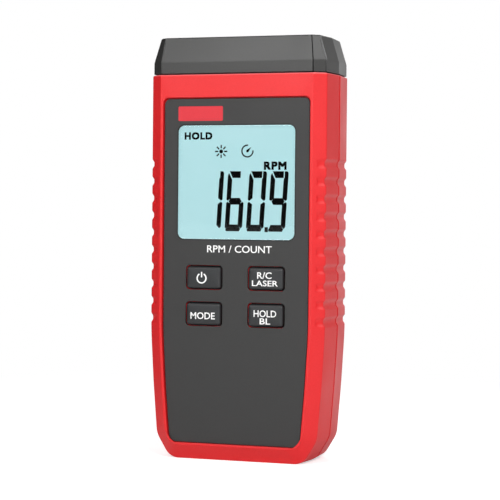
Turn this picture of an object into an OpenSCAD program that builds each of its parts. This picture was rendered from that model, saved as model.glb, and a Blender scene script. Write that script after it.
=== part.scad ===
// Hand-held laser tachometer: a two-part moulded housing with grip ribs and an end cap,
// a face panel with a display and four keys, a circuit board, optics and a battery bay.
// It stands on its lower end with its front towards -Y. Millimetres.

/* [Housing] */
// Height of the two case halves, up to the end cap
case_h = 118.5; // [112:0.5:130]
// Width across the parting line
case_w = 58.4; // [57:0.2:64]
// Depth of the front half, from the front face to the parting line
front_depth = 12.4; // [12:0.1:15]
// Depth of the rear half, from the parting line to the back
rear_depth = 14; // [13.6:0.1:18]
// Draft of the sides, in degrees
draft = 5; // [2:0.5:7]
// Thickness of the side walls
wall = 2; // [1.6:0.1:2.6]
// Thickness of the back wall
back_wall = 2.2; // [2:0.1:3]
// Width of the front corner facet, seen from the front
facet_w = 3.7; // [2:0.1:4.5]
// Depth of the front corner facet
facet_d = 2.6; // [1.5:0.1:2.9]
// Width of the rear corner facet, seen from the back
rear_facet_w = 3; // [2:0.1:4]
// Depth of the rear corner facet
rear_facet_d = 2.4; // [1.5:0.1:3]
// Height of the facet along the lower end of the front
foot_facet = 4.5; // [3:0.1:4.8]
// Height of the facet along the lower end of the back
rear_foot_facet = 3; // [2:0.1:3.3]

/* [Lower end] */
// Height where the sides start to taper
taper_z = 40; // [34:0.5:42]
// Height of the bend half way down the taper
taper_mid_z = 23; // [18:0.5:28]
// Inward taper at that bend
taper_mid_in = 0.96; // [0.6:0.02:1.2]
// Inward taper at the lower corner
taper_in = 2.2; // [1.6:0.1:2.8]
// Width of the lower corner chamfer
corner_w = 4.6; // [3:0.1:6]
// Height of the lower corner chamfer
corner_h = 7.6; // [6:0.1:9]

/* [Grip ribs] */
// Valleys on each side
rib_count = 10; // [6:1:11]
// Distance from one valley to the next
rib_pitch = 5.3; // [5:0.1:6]
// Width of a valley at the surface
rib_w = 2.7; // [2:0.1:3.4]
// Width of a valley's floor
rib_floor_w = 1.3; // [0.6:0.1:1.6]
// Depth of a valley
rib_depth = 0.75; // [0.3:0.05:1]
// Height of the lowest valley
rib_z = 43.4; // [42:0.1:46]

/* [End cap] */
// Height of the end cap above the case
cap_h = 11.5; // [10:0.1:14]
// Height of the cap's upright band
cap_band = 3.9; // [3:0.1:5]
// Step in from the case to the cap
cap_step = 0.25; // [0.1:0.05:0.5]
// Groove between the case and the cap
cap_groove = 0.4; // [0.2:0.05:0.6]
// Lean of the cap's front above the band
cap_front_in = 1.3; // [0.5:0.1:2]
// Lean of the cap's sides above the band
cap_side_in = 2.3; // [1:0.1:3]
// Lean of the cap's corner facets above the band
cap_facet_in = 1.6; // [1:0.1:2.2]
// Lean of the cap's back above the band
cap_back_in = 1; // [0.4:0.1:2]
// Thickness of the cap's top
cap_top_t = 2.5; // [2:0.1:3]
// Depth of the cap's skirt inside the case
skirt_h = 4; // [3:0.1:4.5]
// Thickness of the skirt
skirt_t = 1.6; // [1.2:0.1:2]

/* [Face panel] */
// Depth of the panel's face below the front of the case
panel_recess = 0.8; // [0.4:0.05:1]
// Thickness of the panel
panel_t = 0.7; // [0.5:0.05:1]
// Case wall behind the panel
face_wall = 1.5; // [1.2:0.1:1.8]
// Flat border of the case beside the panel
panel_border = 1.1; // [0.6:0.1:1.6]
// Flat border of the case below the panel
panel_foot_border = 0.8; // [0.5:0.1:1.4]
// Distance from the cap down to the panel
panel_drop = 7.4; // [6:0.1:9]
// Inward taper of the panel at its lower edge
panel_taper = 2.4; // [1.8:0.1:3]
// Radius of the panel's upper corners
panel_top_r = 1.8; // [1:0.1:3]
// Radius of the panel's lower corners
panel_foot_r = 2.5; // [1:0.1:4]

/* [Display] */
// Width of the display opening in the panel
window_w = 37.9; // [34:0.1:39]
// Height of the display opening in the panel
window_h = 34.9; // [33:0.1:36.5]
// Distance from the panel's upper edge down to the display opening
window_drop = 8.2; // [7.6:0.1:9.5]
// Corner radius of the display opening
window_r = 2; // [1:0.1:3]
// Flange of the clear window behind the panel
window_lip = 0.9; // [0.6:0.1:1.2]
// Border of the LCD glass outside the opening
lcd_border = 2.4; // [2:0.1:2.6]
// Thickness of one sheet of the LCD glass
lcd_sheet = 1; // [0.7:0.1:1.2]
// Contact ledge at the top and bottom of the LCD glass
lcd_ledge = 2; // [1.6:0.1:2.4]
// Thickness of the backlight panel
backlight_t = 2.3; // [2:0.1:2.8]
// Wall of the LCD frame
lcd_frame_t = 1.2; // [0.8:0.1:1.4]

/* [Keys] */
// Width of a key
key_w = 11.1; // [9:0.1:12]
// Height of a key
key_h = 6.6; // [5:0.1:7]
// Distance between the key columns
key_dx = 20.2; // [17:0.1:21]
// Distance between the key rows
key_dz = 11.2; // [10:0.1:11.6]
// Distance from the display opening down to the centre of the upper row
key_drop = 11.8; // [10.8:0.1:13]
// Corner radius of a key
key_r = 0.8; // [0.4:0.1:1.5]
// Bevel around a key's face
key_bevel = 0.45; // [0.2:0.05:0.7]
// Height of a key's face above the panel
key_proud = 0.7; // [0.3:0.05:0.75]
// Travel of a key
key_travel = 0.6; // [0.3:0.05:0.7]
// Retaining flange around a key
key_flange = 1; // [0.6:0.1:1.2]
// Gap around a key in the case
key_gap = 0.25; // [0.2:0.05:0.4]
// Gap around a key in the panel
key_panel_gap = 0.38; // [0.3:0.02:0.5]

/* [Circuit board] */
// Thickness of the board
board_t = 1.6; // [1:0.1:1.8]
// Width of the board
board_w = 46.4; // [45:0.1:47]
// Reach of the board below the battery bay's lower end
board_foot = 2; // [1:0.1:2.2]
// Diameter of the board screws
board_screw_d = 2; // [1.6:0.1:2.4]
// Distance between the board screws across the board
board_screw_dx = 40; // [39:0.2:41]
// Height of the lower board screws
board_screw_z0 = 20; // [18:0.5:30]

/* [Case screws] */
// Diameter of the case screws
case_screw_d = 2.6; // [2:0.1:3]
// Diameter of their heads
case_screw_head_d = 4.6; // [4:0.1:5]
// Depth of the heads' seat below the back
case_screw_sink = 7; // [5:0.1:8]
// Distance between the lower screws
lower_screw_dx = 32; // [28:0.5:34]

/* [Batteries] */
// Diameter of a cell
cell_d = 10.5; // [10:0.1:10.6]
// Length of a cell with its button
cell_l = 44.5; // [43:0.1:45]
// Distance between cells
cell_pitch = 11.2; // [11:0.1:11.6]
// Length of a contact spring
spring_l = 4.5; // [3.5:0.1:5]
// Thickness of the contact plates
contact_t = 0.4; // [0.3:0.05:0.6]
// Height of the battery bay's lower end
bay_z0 = 13; // [12.6:0.1:14]
// Wall of the battery bay
bay_wall = 1.4; // [1:0.1:1.6]
// Floor of the battery bay
bay_floor = 1; // [0.8:0.05:1.1]
// Thickness of the battery cover
cover_t = 1.6; // [1.2:0.05:1.7]
// Ledge under the edge of the battery cover
cover_ledge = 2.2; // [1.8:0.1:2.4]
// Gap around the battery cover
cover_gap = 0.2; // [0.15:0.05:0.3]
// Grip grooves in the battery cover
cover_grooves = 5; // [3:1:7]

/* [Optics] */
// Distance from the centre to the laser's axis
laser_x = 10; // [9:0.1:11]
// Distance from the centre to the receiver's axis
receiver_x = 7; // [6.5:0.1:8]
// Diameter of the laser module
laser_d = 6; // [5:0.1:7]
// Length of the laser module
laser_l = 15; // [12:0.1:16]
// Diameter of the receiver lens
receiver_d = 12; // [10:0.1:13]
// Thickness of the windows in the cap
pane_t = 1.1; // [0.8:0.1:1.3]
// Ledge around the windows
pane_ledge = 0.9; // [0.6:0.1:1.2]
// Height of the optics holder
holder_h = 16.5; // [15.5:0.1:17]
// Depth of the optics holder
holder_d = 15; // [14.4:0.1:16]

/* [Hidden] */
$fn = 48;

fit = 0.15;         // gap between pieces that are pushed together
snug = 0.03;        // gap between a screw or barrel and its hole
past = 1;           // how far a cut runs past the face that it opens
arc_steps = 5;      // flats in a rounded corner

// Depths, from the front to the back
front_y = -(front_depth + rear_depth) / 2;
back_y = -front_y;
part_y = front_y + front_depth;
panel_y = front_y + panel_recess;
recess_y = panel_y + panel_t;
inner_y = recess_y + face_wall;
board_y = inner_y + 2 * lcd_sheet + backlight_t;
board_back_y = board_y + board_t;
cover_y = back_y - cover_t;
cell_y = cover_y - 2 * fit - cell_d / 2;
bay_floor_y = cell_y - cell_d / 2 - fit;
screw_seat_y = back_y - case_screw_sink;

// Half widths at the edges of the facets
half_w = case_w / 2;
facet_edge_in = (front_depth - facet_d) * tan(draft);
rear_edge_in = (rear_depth - rear_facet_d) * tan(draft);
front_in = facet_edge_in + facet_w;
back_in = rear_edge_in + rear_facet_w;

// The case seen from the front: right side upwards, then left side downwards
case_right = [
    [half_w - taper_in - corner_w, 0],
    [half_w - taper_in, corner_h],
    [half_w - taper_mid_in, taper_mid_z],
    [half_w, taper_z],
    [half_w, case_h],
];
case_radii = [3, 5, 300, 150, 0];
panel_x = half_w - front_in - panel_border;
panel_z0 = foot_facet + panel_foot_border;
panel_z1 = case_h - panel_drop;
panel_right = [
    [panel_x - panel_taper, panel_z0],
    [panel_x - taper_mid_in, taper_mid_z],
    [panel_x, taper_z],
    [panel_x, panel_z1],
];
panel_radii = [panel_foot_r, 300, 150, panel_top_r];

// The cap seen from above: front right to back right, then back left to front left
cap_right = [
    [half_w - front_in, front_y],
    [half_w - facet_edge_in, front_y + facet_d],
    [half_w, part_y],
    [half_w - rear_edge_in, back_y - rear_facet_d],
    [half_w - back_in, back_y],
];
cap_z = case_h + cap_h;
crease_z = case_h + cap_band;
skirt_x = half_w - max(facet_edge_in, rear_edge_in) - wall - fit;
skirt_y0 = inner_y + fit;
skirt_y1 = back_y - back_wall - fit;

// Display stack
window_z = panel_z1 - window_drop - window_h / 2;
lcd_w = window_w + 2 * lcd_border;
lcd_h = window_h + 2 * lcd_border;
lcd_y1 = inner_y + 2 * lcd_sheet;
lcd_r = 0.3;
board_r = 1.5;
lcd_frame_w = lcd_w + 2 * (fit + lcd_frame_t);
lcd_frame_h = lcd_h + 2 * (fit + lcd_frame_t);
board_z1 = window_z + lcd_frame_h / 2 + 2 * fit;

// Keys
key_flange_t = 1;
key_rest_gap = 0.1;
switch_gap = 0.2;
key_flange_y = inner_y + key_rest_gap;
key_back_y = key_flange_y + key_flange_t;
key_face_y = panel_y - key_proud;
switch_y = key_back_y + key_travel + switch_gap;
switch_w = 6;
switch_r = 0.6;
plunger_d = 3.2;
plunger_in = 0.9;
plunger_gap = 0.2;
plunger_y = switch_y + plunger_in;
key_high = window_z - window_h / 2 - key_drop;
key_low = key_high - key_dz;

// Battery bay
board_z0 = bay_z0 - board_foot;
cell_gap = 0.4;
bay_w = 2 * cell_pitch + cell_d + 2 * cell_gap;
bay_z1 = bay_z0 + 2 * contact_t + spring_l + cell_l;
cover_w = bay_w + 2 * cover_ledge;
cover_z0 = bay_z0 - cover_ledge;
cover_z1 = bay_z1 + cover_ledge;
cover_r = 2;
notch_r = 6;
notch_d = 1;
rail_t = 1;
rail_h = 1.5;
rail_short = 4;
divider_t = 1.2;
divider_h = 2;
groove_r = 0.6;
groove_w = 16;
groove_pitch = 2.2;
groove_drop = 5;
button_d = 3.8;
button_h = 0.8;
cell_edge = 0.6;
cell_up_z = bay_z0 + contact_t + spring_l;
cell_down_z = bay_z0 + contact_t;
contact_w = 8.6;
contact_r = 0.8;
tail_w = 3;
spring_wire = 0.6;
spring_sides = 6;
spring_steps = 14;
spring_turns = 3.5;
spring_big_r = 3.2;
spring_small_r = 1.7;

// Screws
case_screw_r = case_screw_d / 2;
case_screw_stop = 2.5;
case_screw_tip_y = inner_y + case_screw_stop;
case_screw_head_h = 1.8;
screw_gap = 1;
tube_wall = 1.4;
screw_tube_r = case_screw_head_d / 2 + tube_wall;
screw_boss_r = case_screw_r + tube_wall;
upper_screw_x = skirt_x - screw_tube_r - screw_gap;
upper_screw_z = board_z1 + screw_boss_r + 2 * fit;
lower_screw_z = (rear_foot_facet + cover_z0) / 2;
case_screw_spots = [
    for (side = [-1, 1], spot = [[upper_screw_x, upper_screw_z], [lower_screw_dx / 2, lower_screw_z]])
        [side * spot[0], spot[1]]
];
board_screw_r = board_screw_d / 2;
board_screw_head_h = 1.3;
board_screw_head_r = board_screw_r + 0.9;
post_r = board_screw_r + tube_wall;
board_screw_z1 = window_z - lcd_frame_h / 2 - post_r - 2 * fit;
board_screw_spots = [
    for (side = [-1, 1], z = [board_screw_z0, board_screw_z1]) [side * board_screw_dx / 2, z]
];

// Optics
shelf_t = 1.8;
shelf_z = board_z1 + 2 * fit;
holder_w = 2 * (upper_screw_x - screw_tube_r - 2 * fit);
holder_z1 = shelf_z + holder_h;
holder_base = 5;
holder_web = 3;
holder_floor = 1.5;
laser_z1 = shelf_z + holder_floor + laser_l;
lens_rim = 1.6;
lens_dome = 1.6;
lens_seat = 1;
laser_lens_t = 1;
laser_rim = 0.6;
laser_wire_r = 2;
diode_d = 5;
diode_h = 6;
diode_flange_d = 5.8;
diode_flange_h = 1;
lead_r = 0.25;
lead_l = 3;
lead_dx = 2.54;
pane_margin = 1;
laser_pane_d = laser_d + 2 * pane_margin;
receiver_pane_d = receiver_d + 2 * pane_margin;

// Parts on the board
chip_w = 10;
chip_t = 1.4;
chip_stand = 0.1;
chip_x = -8;
chip_z = window_z;
pin_count = 8;
pin_pitch = 1;
pin_w = 0.45;
pin_t = 0.3;
pin_reach = 1;
crystal_w = 10.6;
crystal_h = 4.6;
crystal_r = 2.2;
crystal_t = 3.5;
crystal_x = 8;
crystal_z = chip_z - chip_w / 2;

// Outline helpers
function unit(v) = v / norm(v);
function mirrored(right) = concat(right, [for (i = [len(right) - 1:-1:0]) [-right[i][0], right[i][1]]]);
function doubled(values) = concat(values, [for (i = [len(values) - 1:-1:0]) values[i]]);
function inward(p, i) = let (u = unit(p[(i + 1) % len(p)] - p[i])) [-u[1], u[0]];

// Where the lines n1.q = c1 and n2.q = c2 meet
function meet(n1, c1, n2, c2) =
    [c1 * n2[1] - c2 * n1[1], n1[0] * c2 - n2[0] * c1] / (n1[0] * n2[1] - n1[1] * n2[0]);

// A counter-clockwise outline with each edge moved inwards by its own distance
function inset(p, d) = [
    for (i = [0:len(p) - 1])
        let (h = (i + len(p) - 1) % len(p), n1 = inward(p, h), n2 = inward(p, i))
        meet(n1, n1 * p[h] + d[h], n2, n2 * p[i] + d[i])
];

// A convex outline with arcs at its corners
function rounded(p, radii) = [
    for (i = [0:len(p) - 1])
        let (
            a = unit(p[(i + len(p) - 1) % len(p)] - p[i]),
            b = unit(p[(i + 1) % len(p)] - p[i]),
            half = acos(a * b) / 2,
            r = radii[i],
            centre = p[i] + unit(a + b) * r / sin(half),
            from = p[i] + a * r / tan(half) - centre,
            start = atan2(from[1], from[0])
        )
        each r == 0
            ? [p[i]]
            : [for (k = [0:arc_steps])
                let (t = start + (180 - 2 * half) * k / arc_steps) centre + r * [cos(t), sin(t)]]
];
function box_outline(w, h, r) =
    rounded([[w / 2, -h / 2], [w / 2, h / 2], [-w / 2, h / 2], [-w / 2, -h / 2]], [r, r, r, r]);

// The case outline, moved in at the sides and at the lower end, but not at the top
function case_outline(side_in, foot_in) =
    let (p = mirrored(case_right))
    rounded(
        inset(p, [for (i = [0:len(p) - 1])
            let (n = inward(p, i)) n[1] < -0.5 ? 0 : side_in * n[0] * n[0] + foot_in * n[1] * n[1]]),
        doubled(case_radii)
    );
function at_y(outline, y) = [for (q = outline) [q[0], y, q[1]]];

// The cap outline, moved in at its front, facets, sides and back
function cap_outline(front, facet, side, back, z) =
    [for (q = inset(mirrored(cap_right), [facet, side, side, facet, back, facet, side, side, facet, front]))
        [q[0], q[1], z]];
function cap_ring(d, z) = cap_outline(d, d, d, d, z);

// A closed solid through rings of points
module loft(rings) {
    n = len(rings[0]);
    last = (len(rings) - 1) * n;
    polyhedron(
        points = [for (ring = rings) each ring],
        faces = concat(
            [[for (i = [n - 1:-1:0]) i]],
            [for (k = [0:len(rings) - 2], i = [0:n - 1])
                let (a = k * n + i, b = k * n + (i + 1) % n) each [[a, b, a + n], [b, b + n, a + n]]],
            [[for (i = [0:n - 1]) last + i]]
        )
    );
}

// A flat shape seen from the front, made solid from y0 back to y1
module along_y(y0, y1) {
    translate([0, y1, 0]) rotate([90, 0, 0]) linear_extrude(height = y1 - y0) children();
}
module plate(w, h, r, y0, y1, x = 0, z = 0) {
    along_y(y0, y1) translate([x, z]) polygon(box_outline(w, h, r));
}
module rod_y(r, y0, y1) {
    along_y(y0, y1) circle(r);
}
module rod_z(r, z0, z1) {
    translate([0, 0, z0]) cylinder(r = r, h = z1 - z0);
}
module block(x0, x1, y0, y1, z0, z1) {
    translate([x0, y0, z0]) cube([x1 - x0, y1 - y0, z1 - z0]);
}
module at_spots(spots) {
    for (s = spots) translate([s[0], 0, s[1]]) children();
}
module at_keys() {
    for (x = [-key_dx / 2, key_dx / 2], z = [key_low, key_high]) translate([x, 0, z]) children();
}

// One grip valley along a side, from the parting line out past the facet
module rib_valley(length) {
    flank = (rib_w - rib_floor_w) / 2 / rib_depth;
    outer = rib_w / 2 + flank * past;
    translate([0, length, 0]) rotate([90, 0, 0]) linear_extrude(height = length) polygon([
        [-rib_depth, -rib_floor_w / 2], [past, -outer], [past, outer], [-rib_depth, rib_floor_w / 2],
    ]);
}
module rib_valleys(to_back) {
    reach = to_back ? rear_depth : front_depth;
    for (side = [0, 1], i = [0:rib_count - 1])
        mirror([side, 0, 0]) translate([half_w, part_y, rib_z + i * rib_pitch])
            rotate([0, 0, to_back ? draft : -draft]) mirror([0, to_back ? 0 : 1, 0]) rib_valley(reach + past);
}

// The hollow of a case half, open at its upper end
module cavity_shape(side_in) {
    polygon(case_outline(side_in, wall));
    translate([side_in - half_w, case_h - past]) square([2 * (half_w - side_in), 2 * past]);
}

module panel_shape(gap) {
    p = mirrored(panel_right);
    polygon(rounded(inset(p, [for (q = p) gap]), doubled(panel_radii)));
}

module front_case() {
    cavity_in = facet_edge_in + wall;
    color("crimson") difference() {
        loft([
            at_y(case_outline(front_in, foot_facet), front_y),
            at_y(case_outline(facet_edge_in, 0), front_y + facet_d),
            at_y(case_outline(0, 0), part_y),
        ]);
        difference() {
            along_y(inner_y, part_y + past) cavity_shape(cavity_in);
            at_spots(case_screw_spots) rod_y(screw_boss_r, front_y, part_y + 2 * past);
            at_spots(board_screw_spots) rod_y(post_r, front_y, board_y);
        }
        at_spots(case_screw_spots) rod_y(case_screw_r + snug, case_screw_tip_y - past, part_y + past);
        at_spots(board_screw_spots) rod_y(board_screw_r + snug, inner_y, board_y + past);
        along_y(front_y - past, recess_y) panel_shape(-fit);
        plate(window_w + 2 * (window_lip + fit), window_h + 2 * (window_lip + fit), window_r + window_lip,
            front_y, inner_y + past, z = window_z);
        at_keys() plate(key_w + 2 * key_gap, key_h + 2 * key_gap, key_r + key_gap, front_y, inner_y + past);
        rib_valleys(false);
    }
}

module rear_case() {
    cavity_in = rear_edge_in + wall;
    bay_x = bay_w / 2;
    color("firebrick") difference() {
        loft([
            at_y(case_outline(0, 0), part_y),
            at_y(case_outline(rear_edge_in, 0), back_y - rear_facet_d),
            at_y(case_outline(back_in, rear_foot_facet), back_y),
        ]);
        difference() {
            along_y(part_y - past, back_y - back_wall) cavity_shape(cavity_in);
            at_spots(case_screw_spots) rod_y(screw_tube_r, part_y, back_y);
            block(-bay_x - bay_wall, bay_x + bay_wall, bay_floor_y - bay_floor, back_y,
                bay_z0 - bay_wall, bay_z1 + bay_wall);
            block(-half_w, half_w, part_y, back_y, shelf_z - shelf_t, shelf_z);
        }
        block(-bay_x, bay_x, bay_floor_y, back_y + past, bay_z0, bay_z1);
        along_y(cover_y, back_y + past) cover_shape(cover_gap);
        translate([0, 0, cover_z1]) rod_y(notch_r, back_y - notch_d, back_y + past);
        at_spots(case_screw_spots) {
            rod_y(case_screw_r + fit, part_y - past, back_y);
            rod_y(case_screw_head_d / 2 + fit, screw_seat_y, back_y + past);
        }
        tail_slot(-cell_pitch, bay_z1 - contact_t - fit, bay_z1);
        tail_slot(cell_pitch, bay_z0, bay_z0 + contact_t + fit);
        translate([laser_x, 0, 0]) rod_z(laser_wire_r, shelf_z - shelf_t - past, shelf_z + past);
        translate([-receiver_x, 0, 0]) rod_z(diode_d / 2, shelf_z - shelf_t - past, shelf_z + past);
        rib_valleys(true);
    }
}

// The way through the bay's floor for a contact's tail
module tail_slot(x, z0, z1) {
    half = tail_w / 2 + fit;
    block(x - half, x + half, part_y - past, bay_floor_y + past, z0, z1);
}

module end_cap() {
    color("dimgray") difference() {
        union() {
            loft([
                cap_outline(cap_step + cap_front_in, cap_step + cap_facet_in, cap_step + cap_side_in,
                    cap_step + cap_back_in, cap_z),
                cap_ring(cap_step, crease_z),
                cap_ring(cap_step, case_h + cap_groove),
                cap_ring(cap_step + cap_groove, case_h),
            ]);
            block(-skirt_x, skirt_x, skirt_y0, skirt_y1, case_h - skirt_h, case_h + past);
        }
        block(skirt_t - skirt_x, skirt_x - skirt_t, skirt_y0 + skirt_t, skirt_y1 - skirt_t,
            case_h - skirt_h - past, cap_z - cap_top_t);
        pane_hole(laser_x, laser_pane_d);
        pane_hole(-receiver_x, receiver_pane_d);
    }
}
module pane_hole(x, d) {
    translate([x, 0, 0]) {
        rod_z(d / 2 - pane_ledge, cap_z - cap_top_t - past, cap_z + past);
        rod_z(d / 2 + snug, cap_z - pane_t, cap_z + past);
    }
}
module pane(x, d) {
    translate([x, 0, 0]) rod_z(d / 2, cap_z - pane_t, cap_z);
}

module face_panel() {
    color("dimgray") difference() {
        along_y(panel_y, recess_y) panel_shape(0);
        plate(window_w, window_h, window_r, panel_y - past, recess_y + past, z = window_z);
        at_keys() plate(key_w + 2 * key_panel_gap, key_h + 2 * key_panel_gap, key_r + key_panel_gap,
            panel_y - past, recess_y + past);
    }
}

module display_window() {
    color("lightcyan", 0.4) {
        plate(window_w - 2 * snug, window_h - 2 * snug, window_r, panel_y, inner_y, z = window_z);
        plate(window_w + 2 * window_lip, window_h + 2 * window_lip, window_r + window_lip, recess_y, inner_y,
            z = window_z);
    }
}

module lcd_glass() {
    color("paleturquoise") {
        plate(lcd_w, lcd_h, lcd_r, inner_y, inner_y + lcd_sheet, z = window_z);
        plate(lcd_w, lcd_h - 2 * lcd_ledge, lcd_r, inner_y, lcd_y1, z = window_z);
    }
}

module lcd_frame() {
    color("whitesmoke") difference() {
        plate(lcd_frame_w, lcd_frame_h, lcd_frame_t, inner_y, board_y, z = window_z);
        plate(lcd_w + 2 * fit, lcd_h + 2 * fit, lcd_r, inner_y - past, board_y + past, z = window_z);
    }
}

module backlight_panel() {
    color("white")
        plate(lcd_w - 2 * fit, lcd_h - 2 * (lcd_ledge + fit), lcd_r, lcd_y1, board_y, z = window_z);
}

module zebra_connectors() {
    color("pink") for (side = [-1, 1])
        plate(lcd_w - 2 * lcd_ledge, lcd_ledge - 2 * fit, 0, inner_y + lcd_sheet, board_y,
            z = window_z + side * (lcd_h - lcd_ledge) / 2);
}

module key(x, z) {
    color("darkslategray") translate([x, 0, z]) {
        loft([
            at_y(box_outline(key_w - 2 * key_bevel, key_h - 2 * key_bevel, key_r), key_face_y),
            at_y(box_outline(key_w, key_h, key_r), key_face_y + key_bevel),
            at_y(box_outline(key_w, key_h, key_r), key_back_y),
        ]);
        plate(key_w + 2 * key_flange, key_h + 2 * key_flange, key_r, key_flange_y, key_back_y);
    }
}

module plunger(x, z) {
    color("black") translate([x, 0, z]) rod_y(plunger_d / 2, key_back_y, plunger_y);
}

module key_switches() {
    color("darkgray") at_keys() {
        difference() {
            plate(switch_w, switch_w, switch_r, switch_y, board_y);
            rod_y(plunger_d / 2 + plunger_gap, switch_y - past, plunger_y + key_travel + plunger_gap);
        }
        for (side = [-1, 1])
            plate(switch_w + 2 * pin_reach, pin_w, 0, board_y - pin_t, board_y, z = side * switch_w / 3);
    }
}

module main_board() {
    color("seagreen") difference() {
        plate(board_w, board_z1 - board_z0, board_r, board_y, board_back_y, z = (board_z0 + board_z1) / 2);
        at_spots(board_screw_spots) rod_y(board_screw_r + fit, board_y - past, board_back_y + past);
    }
}

// A cross-recessed pan-head screw, seated at y and driven forward to tip_y
module screw(r, head_r, head_h, y, tip_y) {
    difference() {
        union() {
            rod_y(head_r, y, y + head_h);
            rod_y(r, tip_y, y + head_h / 2);
        }
        for (turn = [0, 90]) rotate([0, turn, 0])
            block(-head_r / 2, head_r / 2, y + head_h / 2, y + head_h + past, -head_r / 8, head_r / 8);
    }
}
module board_screws() {
    color("silver") at_spots(board_screw_spots)
        screw(board_screw_r, board_screw_head_r, board_screw_head_h, board_back_y, inner_y + past);
}
module case_screws() {
    color("silver") at_spots(case_screw_spots)
        screw(case_screw_r, case_screw_head_d / 2, case_screw_head_h, screw_seat_y, case_screw_tip_y);
}

module controller_chip() {
    color("black") translate([chip_x, 0, chip_z]) {
        plate(chip_w, chip_w, 0, board_back_y + chip_stand, board_back_y + chip_stand + chip_t);
        for (i = [0:pin_count - 1], turn = [0, 90]) rotate([0, turn, 0])
            plate(chip_w + 2 * pin_reach, pin_w, 0, board_back_y, board_back_y + pin_t,
                z = (i - (pin_count - 1) / 2) * pin_pitch);
    }
}

module crystal() {
    color("silver") plate(crystal_w, crystal_h, crystal_r, board_back_y, board_back_y + crystal_t,
        x = crystal_x, z = crystal_z);
}

module optics_holder() {
    color("dimgray") difference() {
        union() {
            block(-holder_w / 2, holder_w / 2, -holder_d / 2, holder_d / 2, shelf_z, shelf_z + holder_base);
            translate([laser_x, 0, 0]) rod_z(laser_d / 2 + tube_wall, shelf_z, holder_z1);
            translate([-receiver_x, 0, 0]) rod_z(receiver_d / 2 + tube_wall, shelf_z, holder_z1);
            block(-receiver_x, laser_x, -holder_web / 2, holder_web / 2, shelf_z, holder_z1 - holder_web);
        }
        translate([laser_x, 0, 0]) {
            rod_z(laser_d / 2 + snug, shelf_z + holder_floor, holder_z1 + past);
            rod_z(laser_wire_r, shelf_z - past, holder_z1);
        }
        translate([-receiver_x, 0, 0]) {
            rod_z(receiver_d / 2 + snug, holder_z1 - lens_rim, holder_z1 + past);
            rod_z(receiver_d / 2 - lens_seat, shelf_z + holder_base, holder_z1);
            rod_z(diode_d / 2 + snug, shelf_z - past, holder_z1);
            rod_z(diode_flange_d / 2 + snug, shelf_z - past, shelf_z + diode_flange_h);
        }
    }
}

module laser_module() {
    color("goldenrod") translate([laser_x, 0, 0]) difference() {
        rod_z(laser_d / 2, shelf_z + holder_floor, laser_z1);
        rod_z(laser_d / 2 - laser_rim, laser_z1 - laser_lens_t, laser_z1 + past);
    }
}

// A lens with a straight rim and a domed top, standing on z
module lens(x, r, rim, dome, z) {
    ball_r = (r * r + dome * dome) / (2 * dome);
    translate([x, 0, z]) intersection() {
        cylinder(r = r, h = rim + dome);
        translate([0, 0, rim + dome - ball_r]) sphere(r = ball_r);
    }
}
module laser_lens() {
    color("lightblue") lens(laser_x, laser_d / 2 - laser_rim - snug, laser_lens_t / 2, laser_lens_t / 2,
        laser_z1 - laser_lens_t);
}
module receiver_lens() {
    color("lightblue") lens(-receiver_x, receiver_d / 2, lens_rim, lens_dome, holder_z1 - lens_rim);
}

module photodiode() {
    color("darkslateblue") translate([-receiver_x, 0, shelf_z]) {
        cylinder(d = diode_flange_d, h = diode_flange_h);
        cylinder(d = diode_d, h = diode_h - diode_d / 2);
        translate([0, 0, diode_h - diode_d / 2]) sphere(d = diode_d);
        for (side = [-1, 1])
            translate([side * lead_dx / 2, 0, -lead_l]) cylinder(r = lead_r, h = lead_l + diode_flange_h / 2);
    }
}

module laser_window() {
    color("darkred", 0.6) pane(laser_x, laser_pane_d);
}
module receiver_window() {
    color("darkred", 0.6) pane(-receiver_x, receiver_pane_d);
}

// A cell standing on its negative end
module cell() {
    r = cell_d / 2;
    body_l = cell_l - button_h;
    rotate_extrude() polygon([
        [0, 0], [r - cell_edge, 0], [r, cell_edge], [r, body_l - cell_edge], [r - cell_edge, body_l],
        [button_d / 2, body_l], [button_d / 2, cell_l], [0, cell_l],
    ]);
}
module left_cell() {
    color("gold") translate([-cell_pitch, cell_y, cell_up_z]) cell();
}
module middle_cell() {
    color("gold") translate([0, cell_y, cell_down_z + cell_l]) mirror([0, 0, 1]) cell();
}
module right_cell() {
    color("gold") translate([cell_pitch, cell_y, cell_up_z]) cell();
}

// A contact plate lying on z, from x0 to x1, with an optional tail to the board
module contact(x0, x1, z, tail) {
    color("silver") {
        translate([(x0 + x1) / 2, cell_y, z]) linear_extrude(height = contact_t)
            polygon(box_outline(x1 - x0 + contact_w, contact_w, contact_r));
        if (tail) block(x0 - tail_w / 2, x0 + tail_w / 2, board_back_y, cell_y, z, z + contact_t);
    }
}
module positive_terminal() contact(-cell_pitch, -cell_pitch, bay_z1 - contact_t, true);
module negative_terminal() contact(cell_pitch, cell_pitch, bay_z0, true);
module upper_link_plate() contact(0, cell_pitch, bay_z1 - contact_t, false);
module lower_link_plate() contact(-cell_pitch, 0, bay_z0, false);

// A conical spring standing on z = 0, its small end up
function spring_ring(t) =
    let (
        turn = 360 * spring_turns * t,
        r = spring_big_r + (spring_small_r - spring_big_r) * t,
        z = spring_wire / 2 + (spring_l - spring_wire) * t
    )
    [for (k = [0:spring_sides - 1])
        let (a = 30 + 360 * k / spring_sides, d = r + cos(a) * spring_wire / 2)
        [d * cos(turn), d * sin(turn), z + sin(a) * spring_wire / 2]];
module spring() {
    rings = round(spring_turns * spring_steps);
    loft([for (i = [0:rings]) spring_ring(i / rings)]);
}
module battery_springs() {
    color("silver") {
        for (x = [-cell_pitch, cell_pitch]) translate([x, cell_y, bay_z0 + contact_t]) spring();
        translate([0, cell_y, bay_z1 - contact_t]) rotate([180, 0, 0]) spring();
    }
}

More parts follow.
